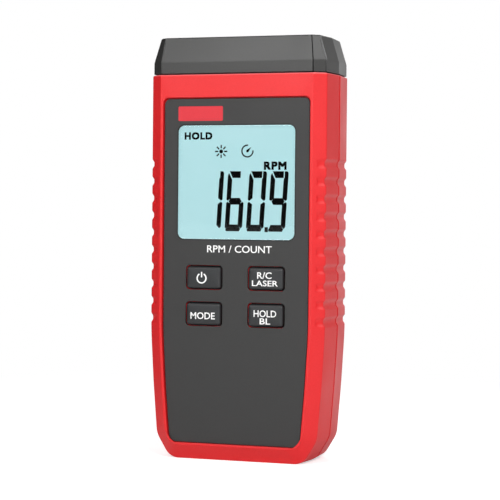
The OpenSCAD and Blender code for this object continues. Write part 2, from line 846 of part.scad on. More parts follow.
module cover_shape(gap) {
    translate([0, (cover_z0 + cover_z1) / 2])
        polygon(box_outline(cover_w + 2 * gap, cover_z1 - cover_z0 + 2 * gap, cover_r + gap));
}
module battery_cover() {
    rail_x = bay_w / 2 - fit;
    color("firebrick") difference() {
        union() {
            along_y(cover_y, back_y) cover_shape(0);
            for (side = [0, 1]) mirror([side, 0, 0])
                block(rail_x - rail_t, rail_x, cover_y - rail_h, back_y - cover_t / 2,
                    bay_z0 + rail_short, bay_z1 - rail_short);
            for (x = [-cell_pitch / 2, cell_pitch / 2])
                block(x - divider_t / 2, x + divider_t / 2, cover_y - divider_h, back_y - cover_t / 2,
                    bay_z0 + rail_short, bay_z1 - rail_short);
        }
        for (i = [0:cover_grooves - 1])
            translate([0, back_y, cover_z1 - groove_drop - i * groove_pitch]) rotate([0, 90, 0])
                cylinder(r = groove_r, h = groove_w, center = true);
    }
}

front_case();
rear_case();
end_cap();
face_panel();
display_window();
lcd_glass();
lcd_frame();
backlight_panel();
zebra_connectors();
key(-key_dx / 2, key_high);  // power_key
key(key_dx / 2, key_high);  // laser_key
key(-key_dx / 2, key_low);  // mode_key
key(key_dx / 2, key_low);  // hold_key
key_switches();
plunger(-key_dx / 2, key_high);  // power_plunger
plunger(key_dx / 2, key_high);  // laser_plunger
plunger(-key_dx / 2, key_low);  // mode_plunger
plunger(key_dx / 2, key_low);  // hold_plunger
main_board();
board_screws();
controller_chip();
crystal();
optics_holder();
laser_module();
laser_lens();
receiver_lens();
photodiode();
laser_window();
receiver_window();
left_cell();
middle_cell();
right_cell();
positive_terminal();
negative_terminal();
upper_link_plate();
lower_link_plate();
battery_springs();
battery_cover();
case_screws();
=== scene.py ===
import math
import bmesh
import bpy
from mathutils import Matrix, Vector


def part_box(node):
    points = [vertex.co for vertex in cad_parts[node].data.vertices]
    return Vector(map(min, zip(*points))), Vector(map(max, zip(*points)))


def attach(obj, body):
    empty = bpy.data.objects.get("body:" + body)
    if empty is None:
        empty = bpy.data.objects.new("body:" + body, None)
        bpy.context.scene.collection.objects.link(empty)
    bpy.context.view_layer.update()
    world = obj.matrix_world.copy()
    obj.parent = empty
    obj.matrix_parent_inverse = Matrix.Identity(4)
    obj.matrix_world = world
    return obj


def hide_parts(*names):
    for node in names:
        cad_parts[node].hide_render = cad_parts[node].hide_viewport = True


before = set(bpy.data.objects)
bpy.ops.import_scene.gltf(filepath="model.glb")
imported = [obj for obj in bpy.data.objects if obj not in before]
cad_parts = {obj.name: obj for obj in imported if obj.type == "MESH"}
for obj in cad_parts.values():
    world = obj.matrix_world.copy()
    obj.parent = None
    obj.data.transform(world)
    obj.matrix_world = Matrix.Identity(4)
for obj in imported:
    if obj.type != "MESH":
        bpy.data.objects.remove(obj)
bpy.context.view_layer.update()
scene = bpy.context.scene
scene.view_settings.view_transform = "Standard"
mm = 0.001
past = 1.0  # how far a cutting tool runs beyond the face it cuts


def nodeBox(name):
    low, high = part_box(name)
    return low / mm, high / mm


# outlines are lists of 2-D points in millimetres, counter-clockwise
def mirrored(right):
    return [Vector(p) for p in right] + [Vector((-x, y)) for x, y in reversed(right)]


def edges(points):
    return zip(points, points[1:] + points[:1])


def inward(points, i):
    along = (points[(i + 1) % len(points)] - points[i]).normalized()
    return Vector((-along.y, along.x))


def inset(points, moves):
    made = []
    for i, p in enumerate(points):
        n1, n2 = inward(points, i - 1), inward(points, i)
        c1, c2 = n1.dot(p) + moves[i - 1], n2.dot(p) + moves[i]
        cross = n1.x * n2.y - n1.y * n2.x
        made.append(Vector((c1 * n2.y - c2 * n1.y, n1.x * c2 - n2.x * c1)) / cross)
    return made


def cornerArc(before, corner, after, radius, steps):
    a, b = (before - corner).normalized(), (after - corner).normalized()
    half = a.angle(b) / 2
    centre = corner + (a + b).normalized() * radius / math.sin(half)
    first = corner + a * radius / math.tan(half) - centre
    last = corner + b * radius / math.tan(half) - centre
    return [centre + first.lerp(last, k / steps).normalized() * radius for k in range(steps + 1)]


def roundedCorners(points, radii, steps):
    made = []
    for i, p in enumerate(points):
        made += cornerArc(points[i - 1], p, points[(i + 1) % len(points)], radii[i], steps)
    return made


def roundedBox(wide, high, radius, steps, centre=(0, 0)):
    corners = [Vector((x * wide / 2, z * high / 2)) for x, z in ((1, -1), (1, 1), (-1, 1), (-1, -1))]
    return [p + Vector(centre) for p in roundedCorners(corners, [radius] * 4, steps)]


# the outline of a node seen from the front, less its lip
def faceOutline(node, shape, grow, steps=8):
    low, high = nodeBox(node)
    wide, tall = (high[i] - low[i] - 2 * shape["lip"] + 2 * grow for i in (0, 2))
    return roundedBox(wide, tall, max(0.2, shape["radius"] + grow), steps, faceCentre(node))


def faceCentre(node):
    low, high = nodeBox(node)
    return (low.x + high.x) / 2, (low.z + high.z) / 2


def onCircle(centre, radius, turn):
    return Vector((centre[0] + radius * math.cos(turn), centre[1] + radius * math.sin(turn)))


def circleOutline(radius, steps, centre=(0, 0)):
    return [onCircle(centre, radius, 2 * math.pi * k / steps) for k in range(steps)]


# a quarter round: how far each step lies in from the side, and how far below the top
def quarterRound(radius, steps):
    turns = [math.pi / 2 * k / steps for k in range(steps + 1)]
    return [(radius * (1 - math.cos(t)), radius * (1 - math.sin(t))) for t in turns]


# an open profile with arcs at its inner corners and cuts along its straight runs
def filletedLine(points, radii, steps, cuts):
    made = [points[0]]
    for i, radius in enumerate(radii):
        arc = cornerArc(points[i], points[i + 1], points[i + 2], radius, steps)
        made += [made[-1].lerp(arc[0], k / cuts[i]) for k in range(1, cuts[i])] + arc
    made += [made[-1].lerp(points[-1], k / cuts[-1]) for k in range(1, cuts[-1] + 1)]
    return made


def atY(outline, y):
    return [Vector((p.x, y, p.y)) for p in outline]


def atZ(outline, z):
    return [Vector((p.x, p.y, z)) for p in outline]


def addObject(name, data):
    obj = bpy.data.objects.new(name, data)
    scene.collection.objects.link(obj)
    return obj


def newMesh(name, points, faces=()):
    mesh = bpy.data.meshes.new(name)
    mesh.from_pydata(points, [], faces)
    return mesh


def fillMesh(mesh, bm):
    bm.to_mesh(mesh)
    bm.free()
    return mesh


# joins doubled points and turns the faces outward
def closed(mesh):
    bm = bmesh.new()
    bm.from_mesh(mesh)
    bmesh.ops.remove_doubles(bm, verts=bm.verts, dist=1e-7)
    bmesh.ops.recalc_face_normals(bm, faces=bm.faces)
    return fillMesh(mesh, bm)


def setMarks(mesh, label, marks):
    mesh.attributes.new(label, "FLOAT", "POINT").data.foreach_set("value", marks)


# a closed solid through rings with the same number of points, in millimetres; marks are values of its points
def loftMesh(name, rings, label="", marks=()):
    count = len(rings[0])
    points = [p * mm for ring in rings for p in ring]
    faces = [tuple(range(count)), tuple(range(len(points) - count, len(points)))]
    for k in range(len(rings) - 1):
        for i in range(count):
            a, b = k * count + i, k * count + (i + 1) % count
            faces.append((a, b, b + count, a + count))
    mesh = newMesh(name, points, faces)
    if label:
        setMarks(mesh, label, marks)
    return closed(mesh)


def loft(name, rings, label="", marks=()):
    return addObject(name, loftMesh(name, rings, label, marks))


def prismMesh(name, outline, y0, y1):
    return loftMesh(name, [atY(outline, y) for y in (y0, y1)])


def joined(name, meshes):
    bm = bmesh.new()
    for mesh in meshes:
        bm.from_mesh(mesh)
        bpy.data.meshes.remove(mesh)
    return addObject(name, fillMesh(bpy.data.meshes.new(name), bm))


def rods(name, radius, y0, y1, spots):
    return joined(name, [prismMesh(name, circleOutline(radius, 40, spot), y0, y1) for spot in spots])


def block(name, low, high, edge=0.0):
    bm = bmesh.new()
    bmesh.ops.create_cube(bm, size=1)
    for v in bm.verts:
        v.co = Vector([(high[i] if v.co[i] > 0 else low[i]) * mm for i in range(3)])
    if edge:
        bmesh.ops.bevel(bm, geom=bm.edges[:], offset=edge * mm, segments=2, profile=0.5, affect="EDGES")
    return addObject(name, closed(fillMesh(bpy.data.meshes.new(name), bm)))


# a cutter along Y whose mouth flares out, so that the edge it leaves is round
def mouthTool(name, outlineAt, mouthY, deepY, flare):
    sign = 1 if deepY > mouthY else -1
    rings = [(flare, mouthY - sign * past)]
    rings += [(grow, mouthY + sign * deep) for deep, grow in quarterRound(flare, 4)]
    return loft(name, [atY(outlineAt(grow), y) for grow, y in rings + [(0, deepY)]])


def cut(obj, tool, operation="DIFFERENCE"):
    modifier = obj.modifiers.new(tool.name, "BOOLEAN")
    modifier.operation, modifier.solver, modifier.object = operation, "EXACT", tool
    tool.hide_render = True


def join(obj, tool):
    cut(obj, tool, "UNION")


# turns what the modifiers make into a plain mesh, and removes the tools
def settle(obj):
    tools = [m.object for m in obj.modifiers if m.type == "BOOLEAN"]
    graph = bpy.context.evaluated_depsgraph_get()
    mesh = bpy.data.meshes.new_from_object(obj.evaluated_get(graph))
    obj.modifiers.clear()
    obj.data = mesh
    for tool in tools:
        bpy.data.objects.remove(tool)
    return obj


def smoothFlats(obj, degrees=32):
    settle(obj)
    obj.data.shade_smooth()
    obj.data.set_sharp_from_angle(angle=math.radians(degrees))
    modifier = obj.modifiers.new("flats", "WEIGHTED_NORMAL")
    modifier.keep_sharp = True
    modifier.weight = 60
    return settle(obj)


def finishPiece(obj, material, body, replaced=()):
    obj.data.materials.clear()
    obj.data.materials.append(material)
    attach(obj, body)
    if replaced:
        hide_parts(*replaced)


# node helpers for both kinds of tree; colours are given without their fourth value
def feed(tree, socket, value):
    if isinstance(value, bpy.types.NodeSocket):
        tree.links.new(value, socket)
    else:
        socket.default_value = (*value, 1) if socket.type == "RGBA" else value


def feedAll(tree, sockets, values):
    for key, value in values.items():
        feed(tree, sockets[key], value)


def addNode(tree, kind, inputs=None, **settings):
    node = tree.nodes.new(kind)
    for key, value in settings.items():
        setattr(node, key, value)
    feedAll(tree, node.inputs, inputs or {})
    return node


def calc(tree, operation, *values):
    return addNode(tree, "ShaderNodeMath", dict(enumerate(values)), operation=operation).outputs[0]


def awayFrom(tree, value, middle):
    return calc(tree, "ABSOLUTE", calc(tree, "SUBTRACT", value, middle))


def mapRange(tree, value, fromMin, fromMax, toMin, toMax, smooth=False):
    ends = {"Value": value, "From Min": fromMin, "From Max": fromMax, "To Min": toMin, "To Max": toMax}
    kind = "SMOOTHSTEP" if smooth else "LINEAR"
    return addNode(tree, "ShaderNodeMapRange", ends, interpolation_type=kind).outputs["Result"]


def splitXYZ(tree, place):
    return addNode(tree, "ShaderNodeSeparateXYZ", {0: place}).outputs


def lengthOf(tree, vector):
    return addNode(tree, "ShaderNodeVectorMath", {0: vector}, operation="LENGTH").outputs["Value"]


def joinXYZ(tree, parts):
    return addNode(tree, "ShaderNodeCombineXYZ", parts).outputs[0]


def floats(*labels):
    return dict.fromkeys(labels, "Float")


def newGroup(name, kind, inputs, outputs):
    tree = bpy.data.node_groups.new(name, kind)
    for way, sockets in (("INPUT", inputs), ("OUTPUT", outputs)):
        for label, sort in sockets.items():
            tree.interface.new_socket(label, in_out=way, socket_type="NodeSocket" + sort)
    return tree, tree.nodes.new("NodeGroupInput").outputs, tree.nodes.new("NodeGroupOutput").inputs


# materials: shared effects first
def objectPlace(tree):
    return addNode(tree, "ShaderNodeTexCoord").outputs["Object"]


def noise(tree, place, scale, **more):
    return addNode(tree, "ShaderNodeTexNoise", {"Vector": place, "Scale": scale, **more}).outputs["Fac"]


def mouldGrainGroup():
    tree, enter, leave = newGroup("mouldGrain", "ShaderNodeTree",
                                  floats("Scale"), floats("Height", "Tone", "Patch"))
    place, patchScale = objectPlace(tree), 60.0
    fine = noise(tree, place, enter["Scale"], Detail=3, Roughness=0.6)
    patch = noise(tree, place, patchScale, Detail=2)
    coarse = calc(tree, "MULTIPLY", enter["Scale"], 0.6)
    cells = addNode(tree, "ShaderNodeTexVoronoi", {"Vector": place, "Scale": coarse}, feature="SMOOTH_F1")
    pits = calc(tree, "MULTIPLY", cells.outputs["Distance"], 0.5)
    feedAll(tree, leave, {
        "Height": calc(tree, "ADD", calc(tree, "MULTIPLY", fine, 0.6), pits),
        "Tone": mapRange(tree, fine, 0.3, 0.7, 0.0, 1.0), "Patch": mapRange(tree, patch, 0.3, 0.7, 0.0, 1.0),
    })
    return tree


def brushedGroup():
    tree, enter, leave = newGroup("brushedMetal", "ShaderNodeTree",
                                  floats("Scale"), floats("Streak", "Tarnish"))
    place = objectPlace(tree)
    drawn = addNode(tree, "ShaderNodeMapping", {"Vector": place, "Scale": (1, 1, 0.15)}).outputs["Vector"]
    tarnish = noise(tree, place, calc(tree, "MULTIPLY", enter["Scale"], 0.2))
    feedAll(tree, leave, {
        "Streak": noise(tree, drawn, enter["Scale"]), "Tarnish": mapRange(tree, tarnish, 0.35, 0.7, 0.0, 1.0),
    })
    return tree


mouldGrain = mouldGrainGroup()
brushedMetal = brushedGroup()


def newMaterial(name):
    material = bpy.data.materials.new(name)
    material.use_nodes = True
    tree = material.node_tree
    return material, tree, tree.nodes["Principled BSDF"].inputs


def useGroup(tree, group, scale):
    return addNode(tree, "ShaderNodeGroup", {"Scale": scale}, node_tree=group).outputs


def mixColour(tree, factor, a, b):
    return addNode(tree, "ShaderNodeMix", {"Factor": factor, 6: a, 7: b}, data_type="RGBA").outputs[2]


# lays a colour over what a material has, where the share is 1
def tint(material, share, over):
    tree = material.node_tree
    colour = tree.nodes["Principled BSDF"].inputs["Base Color"]
    feed(tree, colour, mixColour(tree, share, colour.links[0].from_socket, over))


def bump(tree, height, strength, distance):
    inputs = {"Strength": strength, "Distance": distance, "Height": height}
    return addNode(tree, "ShaderNodeBump", inputs).outputs["Normal"]


# moulded plastic: two close colours, grain in the gloss and the surface
def plastic(name, colour, fleck, roughness=(0.45, 0.55), grain=2400.0, height=0.25, specular=0.5):
    material, tree, shader = newMaterial(name)
    effect = useGroup(tree, mouldGrain, grain)
    fleckShare = calc(tree, "MULTIPLY", effect["Tone"], 0.5)
    feedAll(tree, shader, {
        "Base Color": mixColour(tree, fleckShare, colour, fleck),
        "Roughness": mapRange(tree, effect["Patch"], 0, 1, *roughness),
        "Normal": bump(tree, effect["Height"], height, 0.06 * mm), "Specular IOR Level": specular,
    })
    return material


def metal(name, colour, dull):
    material, tree, shader = newMaterial(name)
    effect = useGroup(tree, brushedMetal, 900.0)
    feedAll(tree, shader, {
        "Base Color": mixColour(tree, effect["Tarnish"], colour, dull),
        "Roughness": mapRange(tree, effect["Streak"], 0.3, 0.7, 0.22, 0.4),
        "Normal": bump(tree, effect["Streak"], 0.1, 0.03 * mm), "Metallic": 1,
    })
    return material


def clear(name, colour, ior, roughness=(0.02, 0.06), specular=0.5):
    material, tree, shader = newMaterial(name)
    effect = useGroup(tree, mouldGrain, 300.0)
    feedAll(tree, shader, {
        "Roughness": mapRange(tree, effect["Patch"], 0, 1, *roughness), "Base Color": colour,
        "Transmission Weight": 1, "IOR": ior, "Specular IOR Level": specular,
    })
    return material


caseRed = plastic("caseRed", (0.66, 0.0075, 0.010), (0.74, 0.016, 0.020), (0.40, 0.5), 2100.0, 0.22)
capGrey = plastic("capGrey", (0.0235, 0.0233, 0.0222), (0.031, 0.0307, 0.0293), (0.4, 0.46), 2600, 0.12, 0.68)
panelGrey = plastic("panelGrey", (0.0265, 0.0263, 0.0260), (0.036, 0.0357, 0.0352), (0.5, 0.6), 3000.0, 0.16)
keyRubber = plastic("keyRubber", (0.018, 0.0195, 0.021), (0.027, 0.029, 0.031), (0.45, 0.55), 2800.0, 0.2)
switchPlastic = plastic("switchPlastic", (0.03, 0.03, 0.032), (0.05, 0.05, 0.052), (0.45, 0.6))
frameWhite = plastic("frameWhite", (0.78, 0.78, 0.76), (0.84, 0.84, 0.82))
inkWhite = plastic("inkWhite", (0.84, 0.84, 0.83), (0.92, 0.92, 0.91), (0.45, 0.55), 3500.0, 0.1)
inkRed = plastic("inkRed", (0.58, 0.012, 0.024), (0.66, 0.020, 0.034), (0.4, 0.5), 3500.0, 0.1)
inkBlack = plastic("inkBlack", (0.0006,) * 3, (0.0015,) * 3, (0.5, 0.6), 3500.0, 0.05, 0.02)
platedSteel = metal("platedSteel", (0.62, 0.62, 0.60), (0.48, 0.47, 0.45))
barrelBrass = metal("barrelBrass", (0.72, 0.50, 0.20), (0.55, 0.36, 0.14))
windowClear = clear("windowClear", (0.98, 0.995, 1.0), 1.49, (0.01, 0.04), 0.15)
lensGlass = clear("lensGlass", (0.97, 0.99, 1.0), 1.52)
filterRed = clear("filterRed", (0.30, 0.012, 0.014), 1.49)
diodeDark = clear("diodeDark", (0.05, 0.03, 0.06), 1.5, (0.08, 0.15))
# near-black, used for the painted shade in the cap's creases and for the fine line round the window
lineDark = (0.004, 0.004, 0.004)


# the display glows unevenly
def lcdGlow():
    material, tree, shader = newMaterial("lcdGlow")
    share = mapRange(tree, noise(tree, objectPlace(tree), 45.0), 0.3, 0.7, 0.0, 1.0)
    feedAll(tree, shader, {
        "Emission Color": mixColour(tree, share, (0.455, 0.770, 0.800), (0.490, 0.800, 0.830)),
        "Emission Strength": 0.88, "Base Color": (0.10, 0.14, 0.15), "Roughness": 0.35,
    })
    return material


# solder mask over copper tracks
def boardGreen():
    material, tree, shader = newMaterial("boardGreen")
    upright = addNode(tree, "ShaderNodeMapping", {
        "Vector": objectPlace(tree), "Rotation": (math.pi / 2, 0, 0)})
    tracks = addNode(tree, "ShaderNodeTexBrick", {
        "Vector": upright.outputs["Vector"], "Scale": 160.0, "Mortar Size": 0.06,
        "Color1": (0.010, 0.10, 0.035), "Color2": (0.014, 0.13, 0.045), "Mortar": (0.03, 0.22, 0.08),
    }).outputs
    raised = bump(tree, tracks["Fac"], 0.2, 0.05 * mm)
    feedAll(tree, shader, {"Base Color": tracks["Color"], "Normal": raised, "Roughness": 0.35})
    return material


# moulded body with plated pins outside it
def chipBlack():
    low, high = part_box("controller_chip")
    pinReach, pinGap = 1.0 * mm, 0.02 * mm
    material, tree, shader = newMaterial("chipBlack")
    place = splitXYZ(tree, objectPlace(tree))
    away = [awayFrom(tree, place[axis], (low[axis] + high[axis]) / 2) for axis in (0, 2)]
    pins = calc(tree, "GREATER_THAN", calc(tree, "MAXIMUM", *away), (high.x - low.x) / 2 - pinReach + pinGap)
    grain = useGroup(tree, mouldGrain, 2500.0)
    body = mixColour(tree, grain["Tone"], (0.012, 0.012, 0.013), (0.022, 0.022, 0.024))
    feedAll(tree, shader, {
        "Base Color": mixColour(tree, pins, body, (0.62, 0.62, 0.60)), "Metallic": pins,
        "Normal": bump(tree, grain["Height"], 0.2, 0.05 * mm), "Roughness": 0.42,
    })
    return material


# rubber strip with fine conducting layers across it
def zebraRubber():
    material, tree, shader = newMaterial("zebraRubber")
    layers = {"Scale": 900.0, "Vector": objectPlace(tree)}
    bands = addNode(tree, "ShaderNodeTexWave", layers, bands_direction="X").outputs["Fac"]
    striped = mixColour(tree, bands, (0.75, 0.32, 0.34), (0.10, 0.07, 0.07))
    feedAll(tree, shader, {"Base Color": striped, "Roughness": 0.7})
    return material


# shrink wrap with a pale band at the positive end and bare metal ends
def cellWrap(side, positiveUp):
    low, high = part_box(side + "_cell")
    endBare, buttonHigh, bandHigh, ringHalf = (size * mm for size in (0.7, 0.8, 9, 0.5))
    material, tree, shader = newMaterial(side + "CellWrap")
    z, tall = splitXYZ(tree, objectPlace(tree))["Z"], high.z - low.z
    up = calc(tree, "SUBTRACT", z, low.z) if positiveUp else calc(tree, "SUBTRACT", high.z, z)
    bare = calc(tree, "MAXIMUM", calc(tree, "LESS_THAN", up, endBare),
                calc(tree, "GREATER_THAN", up, tall - buttonHigh - endBare))
    band = calc(tree, "GREATER_THAN", up, tall - bandHigh)
    ring = calc(tree, "LESS_THAN", awayFrom(tree, up, tall - bandHigh), ringHalf)
    grain = useGroup(tree, mouldGrain, 1500.0)
    sleeve = mixColour(tree, grain["Tone"], (0.05, 0.16, 0.24), (0.06, 0.18, 0.27))
    for share, over in ((band, (0.55, 0.56, 0.56)), (ring, (0.80, 0.80, 0.78)), (bare, (0.66, 0.66, 0.64))):
        sleeve = mixColour(tree, share, sleeve, over)
    gloss = mapRange(tree, grain["Patch"], 0, 1, 0.24, 0.34)
    feedAll(tree, shader, {"Base Color": sleeve, "Metallic": bare, "Roughness": gloss})
    return material


print("materials made")


# a tree for a modifier, from a mesh, some sizes and a material to a mesh
def pieceTree(name, sizes):
    inputs = {"Geometry": "Geometry", **sizes, "Material": "Material"}
    made = newGroup(name, "GeometryNodeTree", inputs, {"Geometry": "Geometry"})
    made[0].is_modifier = True
    return made


def endTree(tree, enter, leave, geometry):
    real = addNode(tree, "GeometryNodeRealizeInstances", {0: geometry}).outputs[0]
    dressed = addNode(tree, "GeometryNodeSetMaterial", {"Geometry": real, "Material": enter["Material"]})
    feed(tree, leave["Geometry"], dressed.outputs[0])
    return tree


# sets a piece, turned about one axis, on each point of the mesh that comes in
def endOnPoints(tree, enter, leave, piece, axis, turn):
    spots = {"Points": enter["Geometry"], "Instance": piece, "Rotation": joinXYZ(tree, {axis: turn})}
    return endTree(tree, enter, leave, addNode(tree, "GeometryNodeInstanceOnPoints", spots).outputs[0])


def namedValue(tree, label):
    node = addNode(tree, "GeometryNodeInputNamedAttribute", {"Name": label}, data_type="FLOAT")
    return node.outputs["Attribute"]


def addTree(obj, tree, values):
    modifier = obj.modifiers.new(tree.name, "NODES")
    modifier.node_group = tree
    for item in tree.interface.items_tree:
        if item.in_out == "INPUT" and item.name in values:
            modifier[item.identifier] = values[item.name]


# the rule for a row of valleys, shared by the case ribs and the cover's grip
rowSizes = ("First", "Pitch", "Count", "Width", "Floor")


def valleyRowTree():
    tree, enter, leave = newGroup("valleyRow", "GeometryNodeTree",
                                  floats("Along", *rowSizes), floats("Depth"))
    step = calc(tree, "DIVIDE", calc(tree, "SUBTRACT", enter["Along"], enter["First"]), enter["Pitch"])
    nearest = calc(tree, "MAXIMUM", calc(tree, "ROUND", step), 0.0)
    nearest = calc(tree, "MINIMUM", nearest, calc(tree, "SUBTRACT", enter["Count"], 1.0))
    away = calc(tree, "MULTIPLY", awayFrom(tree, step, nearest), enter["Pitch"])
    halves = [calc(tree, "MULTIPLY", enter[label], 0.5) for label in ("Floor", "Width")]
    feed(tree, leave["Depth"], mapRange(tree, away, *halves, 1.0, 0.0, True))
    return tree


valleyRow = valleyRowTree()


# presses the row of valleys into a mesh, along one axis, where its reach attribute is above 0
def pressedRowTree(name, axis, sided):
    tree, enter, leave = pieceTree(name, floats(*rowSizes, "Depth"))
    place = splitXYZ(tree, addNode(tree, "GeometryNodeInputPosition").outputs[0])
    sizes = {label: enter[label] for label in rowSizes}
    row = addNode(tree, "GeometryNodeGroup", {"Along": place["Z"], **sizes}, node_tree=valleyRow)
    press = calc(tree, "MULTIPLY", row.outputs["Depth"], namedValue(tree, "reach"))
    for share in (enter["Depth"], calc(tree, "SIGN", place["X"]) if sided else 1.0, -1.0):
        press = calc(tree, "MULTIPLY", press, share)
    moved = {"Geometry": enter["Geometry"], "Offset": joinXYZ(tree, {axis: press})}
    return endTree(tree, enter, leave, addNode(tree, "GeometryNodeSetPosition", moved).outputs[0])


gripRibs = pressedRowTree("gripRibs", "X", True)
gripGrooves = pressedRowTree("gripGrooves", "Y", False)


def pressRow(obj, tree, shape, first):
    sizes = {label.capitalize(): shape[label] * mm for label in ("pitch", "width", "floor", "depth")}
    addTree(obj, tree, {**sizes, "First": first * mm, "Count": float(shape["count"]), "Material": caseRed})


# a row's reach falls off along a round, from 1 to 0
def roundFall(share):
    share = max(0.0, min(1.0, share))
    return math.sqrt(share * (2 - share))


# case halves
caseShape = {
    "facetWide": 3.7, "facetDeep": 2.6, "footFacet": 4.5,
    "rearFacetWide": 3.0, "rearFacetDeep": 2.4, "rearFootFacet": 3.0,
    "draft": 5.0, "taperFrom": 40.0, "taperBend": 23.0, "bendIn": 0.96,
    "cornerIn": 2.2, "cornerWide": 4.6, "cornerHigh": 7.6,
    "cornerRadii": (5.0, 7.5, 300.0, 150.0, 0.5), "cornerSteps": 12, "cavitySteps": 6,
    "edgeRound": 0.5, "partRound": 0.12, "partIn": 2.0, "topRound": 0.5, "rimRound": 0.25,
    "gapWide": 1.25, "gapDeep": 0.6, "gapRound": 0.05,
    "sideStep": 0.27, "otherStep": 0.7, "longEdge": 50.0,
    "wall": 2.0, "backWall": 2.2, "faceWall": 1.5, "cavityTop": -2.0, "sunk": 0.5,
    "grooveShadeFrom": 0.01, "grooveShadePast": 0.04, "rimHighlightFade": (0.15, 0.45), "rimHighlightShare": 0.8,
}
ribShape = {"first": 43.4, "pitch": 5.3, "count": 10, "width": 3.2, "floor": 0.8, "depth": 0.62,
            "runOut": 2.9}
panelShape = {"taper": 2.4, "radii": (2.5, 300.0, 150.0, 1.8), "gap": 0.28, "footShare": 0.45,
              "edgeRound": 0.18, "holeRound": 0.16}
frontLow, frontHigh = nodeBox("front_case")
backY = nodeBox("rear_case")[1].y
panelLow, panelHigh = nodeBox("face_panel")
halfWide, caseHigh = frontHigh.x, frontHigh.z
frontY, partY = frontLow.y, frontHigh.y
panelY, recessY = panelLow.y, panelHigh.y
innerY = recessY + caseShape["faceWall"]
slope = math.tan(math.radians(caseShape["draft"]))
facetEdgeIn = (partY - frontY - caseShape["facetDeep"]) * slope
rearEdgeIn = (backY - partY - caseShape["rearFacetDeep"]) * slope
frontIn = facetEdgeIn + caseShape["facetWide"]
backIn = rearEdgeIn + caseShape["rearFacetWide"]


# painted shade and painted highlight: the red is darkened in the parting groove, and made paler along the
# upper rim
def paintCaseShadeAndHighlight(material):
    s, high, tree = caseShape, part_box("front_case")[1], material.node_tree
    place = splitXYZ(tree, objectPlace(tree))
    behind = calc(tree, "SUBTRACT", place["Y"], high.y)
    # painted shade: a darker red inside the parting groove
    paintedGrooveShade = calc(tree, "MULTIPLY", calc(tree, "GREATER_THAN", behind, s["grooveShadeFrom"] * mm),
                  calc(tree, "LESS_THAN", behind, (s["gapWide"] + s["grooveShadePast"]) * mm))
    tint(material, paintedGrooveShade, (0.60, 0.0008, 0.002))
    # painted highlight: a paler red along the upper rim of the case
    below = calc(tree, "SUBTRACT", high.z, place["Z"])
    rim = mapRange(tree, below, *(depth * mm for depth in s["rimHighlightFade"]), s["rimHighlightShare"], 0.0, True)
    tint(material, rim, (0.80, 0.16, 0.17))


paintCaseShadeAndHighlight(caseRed)


def caseOutline(sideIn, footIn, topIn=0.0, steps=caseShape["cornerSteps"]):
    s, moves = caseShape, []
    points = mirrored([
        (halfWide - s["cornerIn"] - s["cornerWide"], 0), (halfWide - s["cornerIn"], s["cornerHigh"]),
        (halfWide - s["bendIn"], s["taperBend"]), (halfWide, s["taperFrom"]), (halfWide, caseHigh),
    ])
    for i in range(len(points)):
        n = inward(points, i)
        moves.append(topIn if n.y < -0.5 else sideIn * n.x ** 2 + footIn * n.y ** 2)
    return roundedCorners(inset(points, moves), s["cornerRadii"] + s["cornerRadii"][::-1], steps)


def edgeCuts(p, q):
    step = caseShape["sideStep" if abs(q.y - p.y) > caseShape["longEdge"] else "otherStep"]
    return max(1, math.ceil((q - p).length / step))


caseCuts = [edgeCuts(p, q) for p, q in edges(caseOutline(0, 0))]


def dense(outline):
    return [p.lerp(q, k / cuts) for (p, q), cuts in zip(edges(outline), caseCuts) for k in range(cuts)]


# how much a point of the outline belongs to the lower end, from 0 to 1
def footShare(points, i):
    n = (inward(points, i - 1) + inward(points, i)).normalized()
    return n.y ** 2 if n.y > 0 else 0.0


caseLine = dense(caseOutline(0, 0))
footShares = [footShare(caseLine, i) for i in range(len(caseLine))]


def caseRing(side, foot, mouthY):
    radius = caseShape["topRound"]
    away = min(radius, abs(side.y - mouthY))
    outline = dense(caseOutline(side.x, foot.x, radius - math.sqrt(radius ** 2 - (radius - away) ** 2)))
    return [Vector((p.x, side.y + (foot.y - side.y) * w, p.y)) for p, w in zip(outline, footShares)]


# profiles run from the flat face over the facet and the side to the parting line
def caseProfiles(mouthY, facetY, mouthIn, facetIn, footIn, gap=0.0):
    s, edgeY = caseShape, partY + gap
    rounds, cuts = (s["edgeRound"], s["edgeRound"], s["partRound"]), (1, 9, 5, 1)
    side = [(mouthIn + s["partIn"], mouthY), (mouthIn, mouthY), (facetIn, facetY), (gap * slope, edgeY)]
    foot = [(footIn + s["partIn"], mouthY), (footIn, mouthY), (0, facetY), (0, edgeY)]
    rim = [(s["partIn"], partY)]
    if gap:
        rim = [(s["gapDeep"], edgeY), (s["gapDeep"], partY)]
        rounds, cuts = rounds + (s["gapRound"],), cuts + (1,)
    return [filletedLine([Vector(p) for p in line + rim], rounds, 6, cuts)[1:] for line in (side, foot)]


def ribReach(side, facetIn, facetY, mouthY):
    onSide = (side.y - facetY) * (mouthY - facetY) <= 0
    away = 0.0 if onSide else (side - Vector((facetIn, facetY))).length
    return roundFall(1 - away / ribShape["runOut"])


# the point of an outline that lies at the same angle, seen from the middle
def matchedByAngle(outline, points, middle):
    def angle(p):
        return math.atan2(p.x - middle.x, middle.y - p.y)      # 0 at the foot, rising to the right
    start = min(range(len(outline)), key=lambda i: angle(outline[i]))
    ring = outline[start:] + outline[:start]
    angles = [angle(p) for p in ring]
    made = []
    for p in points:
        a = angle(p)
        k = next((i for i, b in enumerate(angles) if b > a), 0)
        u, v = ring[k - 1], ring[k]
        ray, edge, gap = p - middle, v - u, u - middle
        cross = ray.x * edge.y - ray.y * edge.x
        made.append(middle + ray * ((gap.x * edge.y - gap.y * edge.x) / cross))
    return made


def panelOutline(grow):
    s, half = panelShape, panelHigh.x
    points = mirrored([
        (half - s["taper"], panelLow.z), (half - caseShape["bendIn"], caseShape["taperBend"]),
        (half, caseShape["taperFrom"]), (half, panelHigh.z),
    ])
    moves = [-grow * (s["footShare"] if inward(points, i).y > 0.5 else 1) for i in range(len(points))]
    return roundedCorners(inset(points, moves), s["radii"] + s["radii"][::-1], 10)


